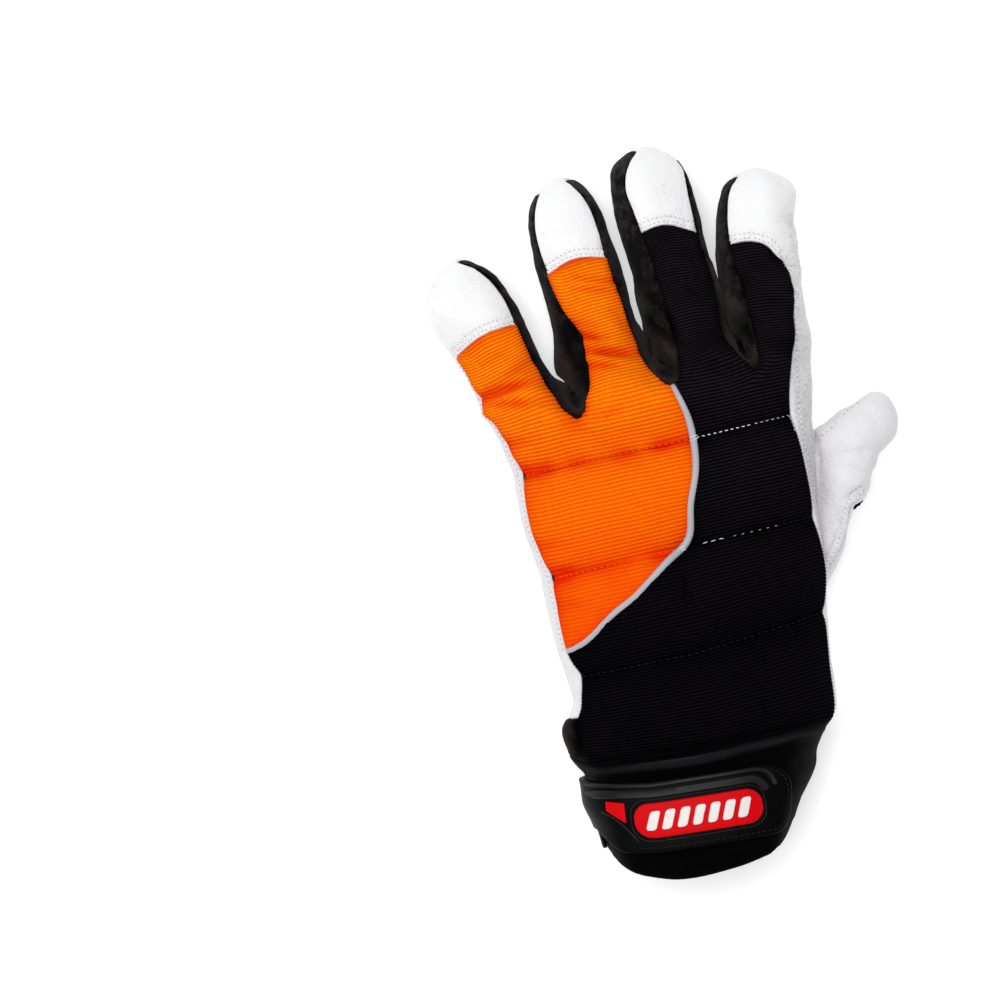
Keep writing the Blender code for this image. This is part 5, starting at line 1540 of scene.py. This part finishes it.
def add_strap():
    """The moulded strap with its plate, ridges, inlays and badge."""
    low = WRAP_GAP
    top = low + STRAP_THICK
    seat = top - 0.15 * MM
    half = STRAP_WIDTH / 2
    waist = [(u * STRAP_WIDTH, v * half) for u, v in STRAP_WAIST]
    corners = [(-STRAP_PALM, half), (-STRAP_PALM, -half), *waist, (STRAP_BACK, -half), (STRAP_BACK, half)]
    radii = [STRAP_END_RADIUS] * 2 + [WAIST_RADIUS] * len(waist) + [STRAP_END_RADIUS] * 2
    band = flat_solid(rounded(corners, radii, 6), low, top, 0.6 * MM)
    strap_piece("shown_strap", band, "strap_rubber", "strap")

    plate_u = STRAP_BACK - PLATE_MARGIN - PLATE_LENGTH / 2 - 2.0 * MM
    plate_v = -0.04 * STRAP_WIDTH
    length, width = 0.94 * PLATE_LENGTH, 0.96 * PLATE_WIDTH
    plate_shape = moved(rounded(box_outline(length, width), 0.44 * width), plate_u, plate_v)
    plate = flat_solid(plate_shape, seat, seat + PLATE_THICK, 0.4 * MM)
    strap_piece("shown_strap_plate", plate, "red_rubber", "strap_plate")
    plate_top = seat + PLATE_THICK - 0.1 * MM
    upright = rounded(box_outline(0.078 * length, 0.56 * width), 0.025 * length, 4)
    for number in range(7):
        bar = moved([(x + y * 0.35, y) for x, y in upright], plate_u + length * 0.118 * (number - 3), plate_v)
        raised = flat_solid(bar, plate_top, plate_top + 0.8 * MM, 0.3 * MM)
        strap_piece(f"grip_bar_{number + 1}", raised, "white_rubber")

    end_u = plate_u + length / 2
    for name, start_u, v, broad, rise, replaced, turn in (
            ("shown_strap_ridge", 7.0 * MM, half - 1.4 * RIDGE_WIDTH, 0.95 * RIDGE_WIDTH, RIDGE_HEIGHT,
             "strap_ridge", ((-7, 0), (-3, -0.1), (-0.6, -0.8), (1.2, -2.6), (2.2, -4.8))),
            ("strap_lip", 6.0 * MM, half - 1.2 * MM, 1.5 * MM, 0.8 * MM, None,
             ((-7, 0), (-2, 0), (1.2, -0.4), (3.6, -1.8), (5, -4), (5.6, -6.6)))):
        path = [Vector((start_u, v, 0)), Vector(((start_u + end_u) / 2, v, 0))]
        path += [Vector((end_u + du * MM, v + dv * MM, 0)) for du, dv in turn]
        made = ribbon(softened(curved(path, 12), 2), broad, seat, seat + rise)
        strap_piece(name, made, "grey_rubber", replaced, False)
    line = rounded(box_outline(length + 2.4 * MM, width + 2.4 * MM), 0.46 * width, 10)
    welt("plate_welt", moved(line + line[:2], plate_u, plate_v), top, 0.3 * MM)

    size = 0.93 * FLASH_SIZE
    flash_v = 0.12 * STRAP_WIDTH
    back_u = plate_u - length / 2 - 1.45 * size
    for name, u, sign in (("strap_flash_back", back_u, 1), ("strap_flash_palm", -0.9 * size, -1)):
        corners = ((0, 0.45 * size), (0, -0.05 * size), (size, -0.75 * size), (size, 0.35 * size))[::sign]
        shape = rounded([(sign * x, y) for x, y in corners], 0.4 * MM, 3)
        flash = flat_solid(moved(shape, u, flash_v), seat, seat + FLASH_THICK, 0.15 * MM)
        strap_piece("shown_" + name, flash, "red_rubber", name)

    sweep = curved([Vector((u * MM + back_u, v * MM + flash_v, 0)) for u, v in
                    ((-2, -1), (1.5, -2.4), (5, -5.4), (8, -9), (10, -12))])
    welt("flash_welt", [(point.x, point.y) for point in sweep], top, 0.35 * MM)
    tab_v = STRAP_WAIST[1][1] * half - 0.5 * TAB_WIDTH - WAIST_RADIUS / 4
    tab_shape = rounded(box_outline(TAB_LENGTH, TAB_WIDTH), 0.3 * TAB_WIDTH, 4)
    tab = flat_solid(moved(tab_shape, 0.05 * STRAP_WIDTH, tab_v), low, low + TAB_THICK, 0.3 * MM)
    strap_piece("shown_side_tab", tab, "black_suede", "side_tab")

    badge_u = 1.22 * BADGE_SIDE - STRAP_PALM
    badge_top = seat + BADGE_THICK
    badge = flat_solid(moved(rounded(hexagon(BADGE_SIDE), 1.5 * MM, 4), badge_u), seat, badge_top, 0.5 * MM)
    strap_piece("shown_palm_badge", badge, "cream_rubber", "palm_badge")
    ring = moved(rounded(hexagon(0.82 * BADGE_SIDE), 1.2 * MM, 5), badge_u)
    welt("badge_ring", ring + ring[:2], badge_top, 0.42 * MM, "strap_rubber")
    for number in range(3):
        bar = rounded(box_outline((15 - 3 * abs(number - 1)) * MM * 0.9, 2.2 * MM), 1.0 * MM, 4)
        face = badge_top - 0.05 * MM
        raised = flat_solid(moved(bar, badge_u, (number - 1) * 4.6 * MM), face, face + 0.35 * MM, 0.12 * MM)
        strap_piece(f"badge_bar_{number + 1}", raised, "strap_rubber")
    add_strap_stitches(half, top)


def add_piping():
    """The round cord between the knit panels."""
    edges = panels.border("back_orange", "back_black")
    line = [point for point, _ in evenly(softened(chained(edges), 6), 1.0 * MM, PIPING_END_GAP - 1.2 * MM)]
    mesh = built("shown_piping", *tube(line, CORD_RADIUS))
    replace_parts(add_piece("shown_piping", mesh, "grey_piping"), "piping")


def offset(line, tree, distance):
    """A line moved sideways over a skin, to the left of its own direction."""
    found = []
    for index, point in enumerate(line):
        normal = tree.find_nearest(point)[1]
        found.append(tree.find_nearest(point + normal.cross(heading(line, index)) * distance)[0])
    return softened(found, 3)


def dropped(corners, tree):
    """A line in plan, in mm and before the shift to the frame's origin, laid on the glove from above."""
    hits = [tree.ray_cast(point + shift - DOWN * 60 * MM, DOWN)[0]
            for point in curved([Vector((x * MM, y * MM, 0.02)) for x, y in corners])]
    return [hit for hit in hits if hit is not None]


DOWN = Vector((0, 0, -1))
WHITE = [name for name, look in LOOKS.items() if look.finish == "white_leather"]
CAP_BACKS = (("cap_little", "back_orange"), ("cap_ring", "back_orange"),
             ("cap_middle", "back_black"), ("cap_index", "back_black"))

# Rows of stitches in plan, with their pitch, in mm: beside the index finger, over the thumb, and twice along
# the thumb's seam
PLAN_ROWS = (
    (((47.6, 83), (48.6, 75), (48.3, 65), (47, 50), (45.6, 40), (44.4, 28), (44.6, 15), (45.3, 5),
      (45.6, -4)), 1.9),
    (((48.5, 17), (52, 19.5), (55, 21.7), (58.5, 24.4), (62, 26.8), (66, 28.4)), 2.3),
    (((63.2, -2.2), (60, -5), (57.4, -8), (55.6, -12), (54, -17), (52, -21.5), (49.4, -25.6),
      (46.6, -28)), 1.9),
    (((62.2, -0.6), (59, -3.6), (56, -6.8), (53.9, -11.4), (52.4, -16.4), (50.6, -20.4), (48.2, -24),
      (46, -26)), 1.9),
)

flat_white = surface_tree(*(panels.plain(name) for name in WHITE))
rows = []
for cap, back in CAP_BACKS:
    own = surface_tree(panels.plain(cap))
    edge = softened(chained(panels.border(cap, back)), 4)
    rows += [(offset(edge, own, gap * MM), 1.75) for gap in (1.3, 3.2)]
rows += [(dropped(line, flat_white), pitch) for line, pitch in PLAN_ROWS]
left_edge = softened(chained(panels.border("palm", "back_orange")), 4)
rows.append((offset(left_edge, surface_tree(panels.plain("palm")), 1.5 * MM), 1.9))
row_tree = nearest_tree([spot for line, _ in rows for spot, _ in evenly(line, 0.5 * MM)])

for name in LOOKS:
    panels.made[name] = panel_piece(name)

white_skin = surface_tree(*(panels.skins[name] for name in WHITE))
thread = Thread()
# Grey bars between the leather stitches: painted shade of each needle hole
hole_shades = Thread()
for line, pitch in rows:
    thread.row(line, white_skin, pitch * MM, 0.46, 0.24 * MM, 0.0, 0.3)
    hole_shades.row(line, white_skin, pitch * MM, 0.50, 0.20 * MM, 0.2, 0.3, 0.5 * pitch * MM)
thread.piece("leather_stitches", "white_thread", "white_leather")
hole_shades.piece("needle_holes", "needle_hole", "white_leather")


def seam_line(name, from_x, to_x):
    """The plan of a quilting seam between two x values, in the measures of dropped."""
    xs, ys = row_line(name)
    return [(x / MM - shift.x / MM, np.interp(x, xs, ys) / MM - shift.y / MM)
            for x in np.linspace(from_x * MM + shift.x, to_x * MM + shift.x, 12)]


# The quilting rows of the back by piece: thread, cloth, and for each row its line, or its seam and the x
# values that it runs between, its pitch, its stitches' share of it, their radius, sink and wander; in mm
QUILTING = (
    ("quilting_white", "white_thread", "black", (
        (("seam_one", 6.6, 27), 2.1, 0.62, 0.19, -0.6, 0.4),
        (("seam_one", 28, 40), 2.1, 0.62, 0.11, -0.6, 0.4),
        (((40.2, 27.4), (40.9, 25), (41.2, 22.4)), 1.9, 0.6, 0.13, -0.6, 0.3),
        (("seam_two", 3.2, 12), 3.0, 0.6, 0.14, -0.6, 0.3))),
    ("quilting_faint", "needle_hole", "black", ((("seam_two", 14, 30), 3.1, 0.35, 0.13, -0.4, 0.3),)),
    ("quilting_orange", "orange_thread", "orange", (
        (("seam_one", -55, 3), 2.4, 0.6, 0.2, -0.2, 0.2), (("seam_two", -51, -3), 2.4, 0.6, 0.2, -0.2, 0.2))),
    ("quilting_black", "black_thread", "black", (
        (("seam_two", 30, 43), 2.6, 0.55, 0.18, -0.3, 0.2),
        (("seam_three", -46, 41), 2.6, 0.55, 0.18, -0.3, 0.2))),
)


def add_back_stitches():
    """The quilting rows of the back: white and black on the black cloth, orange on the orange."""
    for name, finish, cloth, lines in QUILTING:
        skin = surface_tree(panels.skins["back_" + cloth])
        sewn = Thread()
        for line, pitch, share, radius, sink, wander in lines:
            line = dropped(seam_line(*line) if isinstance(line[0], str) else line, skin)
            sewn.row(line, skin, pitch * MM, share, radius * MM, sink, wander)
        sewn.piece(name, finish, cloth + "_knit")


# Quilting channels of the palm in plan, in mm
CHANNELS = (((-4, 43), (-8, 28), (-15, 8), (-27, -7), (-46, -27)),
            ((20, 39), (18, 25), (8, 5), (-5, -10), (-22, -32), (-44, -48)))


def beside(line, distance):
    """A line in plan moved to the right of its own direction."""
    return [at + Vector((ahead.y, -ahead.x, 0)) * distance for at, ahead in evenly(line, 0.8 * MM)]


def add_patch():
    """The second layer of leather on the palm, quilted by double rows of stitches."""
    below = surface_tree(panels.plain("palm"))
    outline = [(x * FINGER_WIDTH, y * PALM_LENGTH) for x, y in PATCH_OUTLINE]
    shape = moved(rounded(outline[::-1], PATCH_CORNER, 6), shift.x, shift.y)
    edge = [Vector((x, y, 0)) for x, y in shape + shape[:1]]
    lines = [softened(beside(edge, inset * MM), 2) for inset in (1.6, 3.4)]
    for corners in CHANNELS:
        middle = curved([Vector((x * MM, y * MM, 0)) + shift for x, y in corners])
        lines += [beside(middle, side * MM) for side in (-0.9, 0.9)]
    tree = nearest_tree([(spot.x, spot.y, 0) for line in lines for spot in line])
    made = sliced(flat_solid(shape, 0.0, PATCH), 1.1 * MM, 1.1 * MM)
    for vertex in made.verts:
        flat = Vector((vertex.co.x, vertex.co.y, 0))
        hit = below.ray_cast(flat + DOWN * HAND_HEIGHT, -DOWN)[0]
        rise = 0.0 if hit is None else max(0.0, hit.z - PATCH_RISE - 0.1 * MM)
        if vertex.co.z < PATCH / 2:
            rise += 0.55 * MM * bell(tree.find(flat)[2], 0.9 * MM)
            rise += 0.12 * MM * (1 + noise.noise(flat / (4 * MM)))
        vertex.co.z += rise
    mesh = bpy.data.meshes.new("shown_palm_patch")
    made.to_mesh(mesh)
    made.free()
    piece = add_piece("shown_palm_patch", mesh, "white_leather")
    mesh.set_sharp_from_angle(angle=math.radians(50))
    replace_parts(piece, "palm_patch")
    corners = [face.vertices for face in mesh.polygons]
    skin = BVHTree.FromPolygons([vertex.co for vertex in mesh.vertices], corners)
    sewn = Thread()
    for line in lines:
        sewn.row(line, skin, 2.0 * MM, 0.55, 0.2 * MM, 0.1, 0.2, 0.0, -DOWN)
    sewn.piece("palm_stitches", "white_thread", "white_leather")


def add_piping_stitches():
    """Two white stitches that hold the cord down where each quilting seam crosses it."""
    line = chained(panels.border("back_orange", "back_black"))
    sewn = Thread()
    for name in ("seam_one", "seam_two"):
        at = min(line, key=lambda point: abs(point.y - np.interp(point.x, *row_line(name))))
        for step in (-0.5 * MM, 0.6 * MM):
            middle = at + Vector((0.2 * MM, step, CORD_RADIUS))
            sewn.stitch(middle, Vector((0.98, 0.17, 0)).normalized(), -DOWN, 3.2 * MM, 0.14 * MM)
    sewn.piece("piping_stitches", "white_thread", "grey_piping")


add_back_stitches()
wrap = Wrap(surface_tree(panels.plain("cuff")))
add_strap()
add_piping()
add_piping_stitches()
add_patch()

# Large soft lamps round the table: their places in metres and their power in watts
LAMPS = (("key", (-0.36, 0.44, 1.6), 21.5), ("right", (1.2, 0.4, 1.1), 2.4), ("front", (0.1, -1.2, 1.0), 2.6),
         ("left", (-1.2, -0.3, 1.0), 2.8))


def stage():
    """A pale floor and soft light, most of it from above."""
    scene = bpy.context.scene
    scene.view_settings.view_transform = "Standard"
    bpy.ops.mesh.primitive_plane_add(size=6)
    floor = bpy.context.object
    floor.name = "floor"
    pale = bpy.data.materials.new("floor")
    pale.use_nodes = True
    for socket, value in (("Base Color", (0.85, 0.85, 0.85, 1)), ("Roughness", 0.9),
                          ("Emission Color", (1, 1, 1, 1)), ("Emission Strength", 0.4)):
        pale.node_tree.nodes["Principled BSDF"].inputs[socket].default_value = value
    floor.data.materials.append(pale)
    scene.world = scene.world or bpy.data.worlds.new("soft")
    scene.world.use_nodes = True
    background = scene.world.node_tree.nodes["Background"].inputs
    background["Color"].default_value = (1, 1, 1, 1)
    background["Strength"].default_value = 0.38
    for name, at, power in LAMPS:
        lamp = bpy.data.lights.new(name, "AREA")
        lamp.size = 1.3
        lamp.energy = power
        holder = bpy.data.objects.new(name, lamp)
        holder.location = at
        holder.rotation_euler = (-Vector(at)).to_track_quat("-Z", "Y").to_euler()
        scene.collection.objects.link(holder)


# The photograph is taken straight from above: its middle in the glove's frame, its width there and its turn
VIEW_CENTRE = Vector((-64.7 * MM, 12.8 * MM, 30 * MM))
VIEW_WIDTH = 355 * MM
VIEW_TURN = math.radians(9.0)
VIEW_DISTANCE = 1.5


def add_camera():
    """The camera over the glove."""
    data = bpy.data.cameras.new("camera")
    data.sensor_width = 36.0
    data.lens = data.sensor_width * VIEW_DISTANCE / VIEW_WIDTH
    camera = bpy.data.objects.new("camera", data)
    camera.location = VIEW_CENTRE + Vector((0, 0, VIEW_DISTANCE))
    camera.rotation_euler = (0, 0, -VIEW_TURN)
    bpy.context.scene.collection.objects.link(camera)
    bpy.context.scene.camera = camera


stage()
add_camera()

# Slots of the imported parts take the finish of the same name
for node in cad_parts.values():
    for slot in node.material_slots:
        if slot.material and slot.material.name in FINISHES:
            slot.material = FINISHES[slot.material.name]
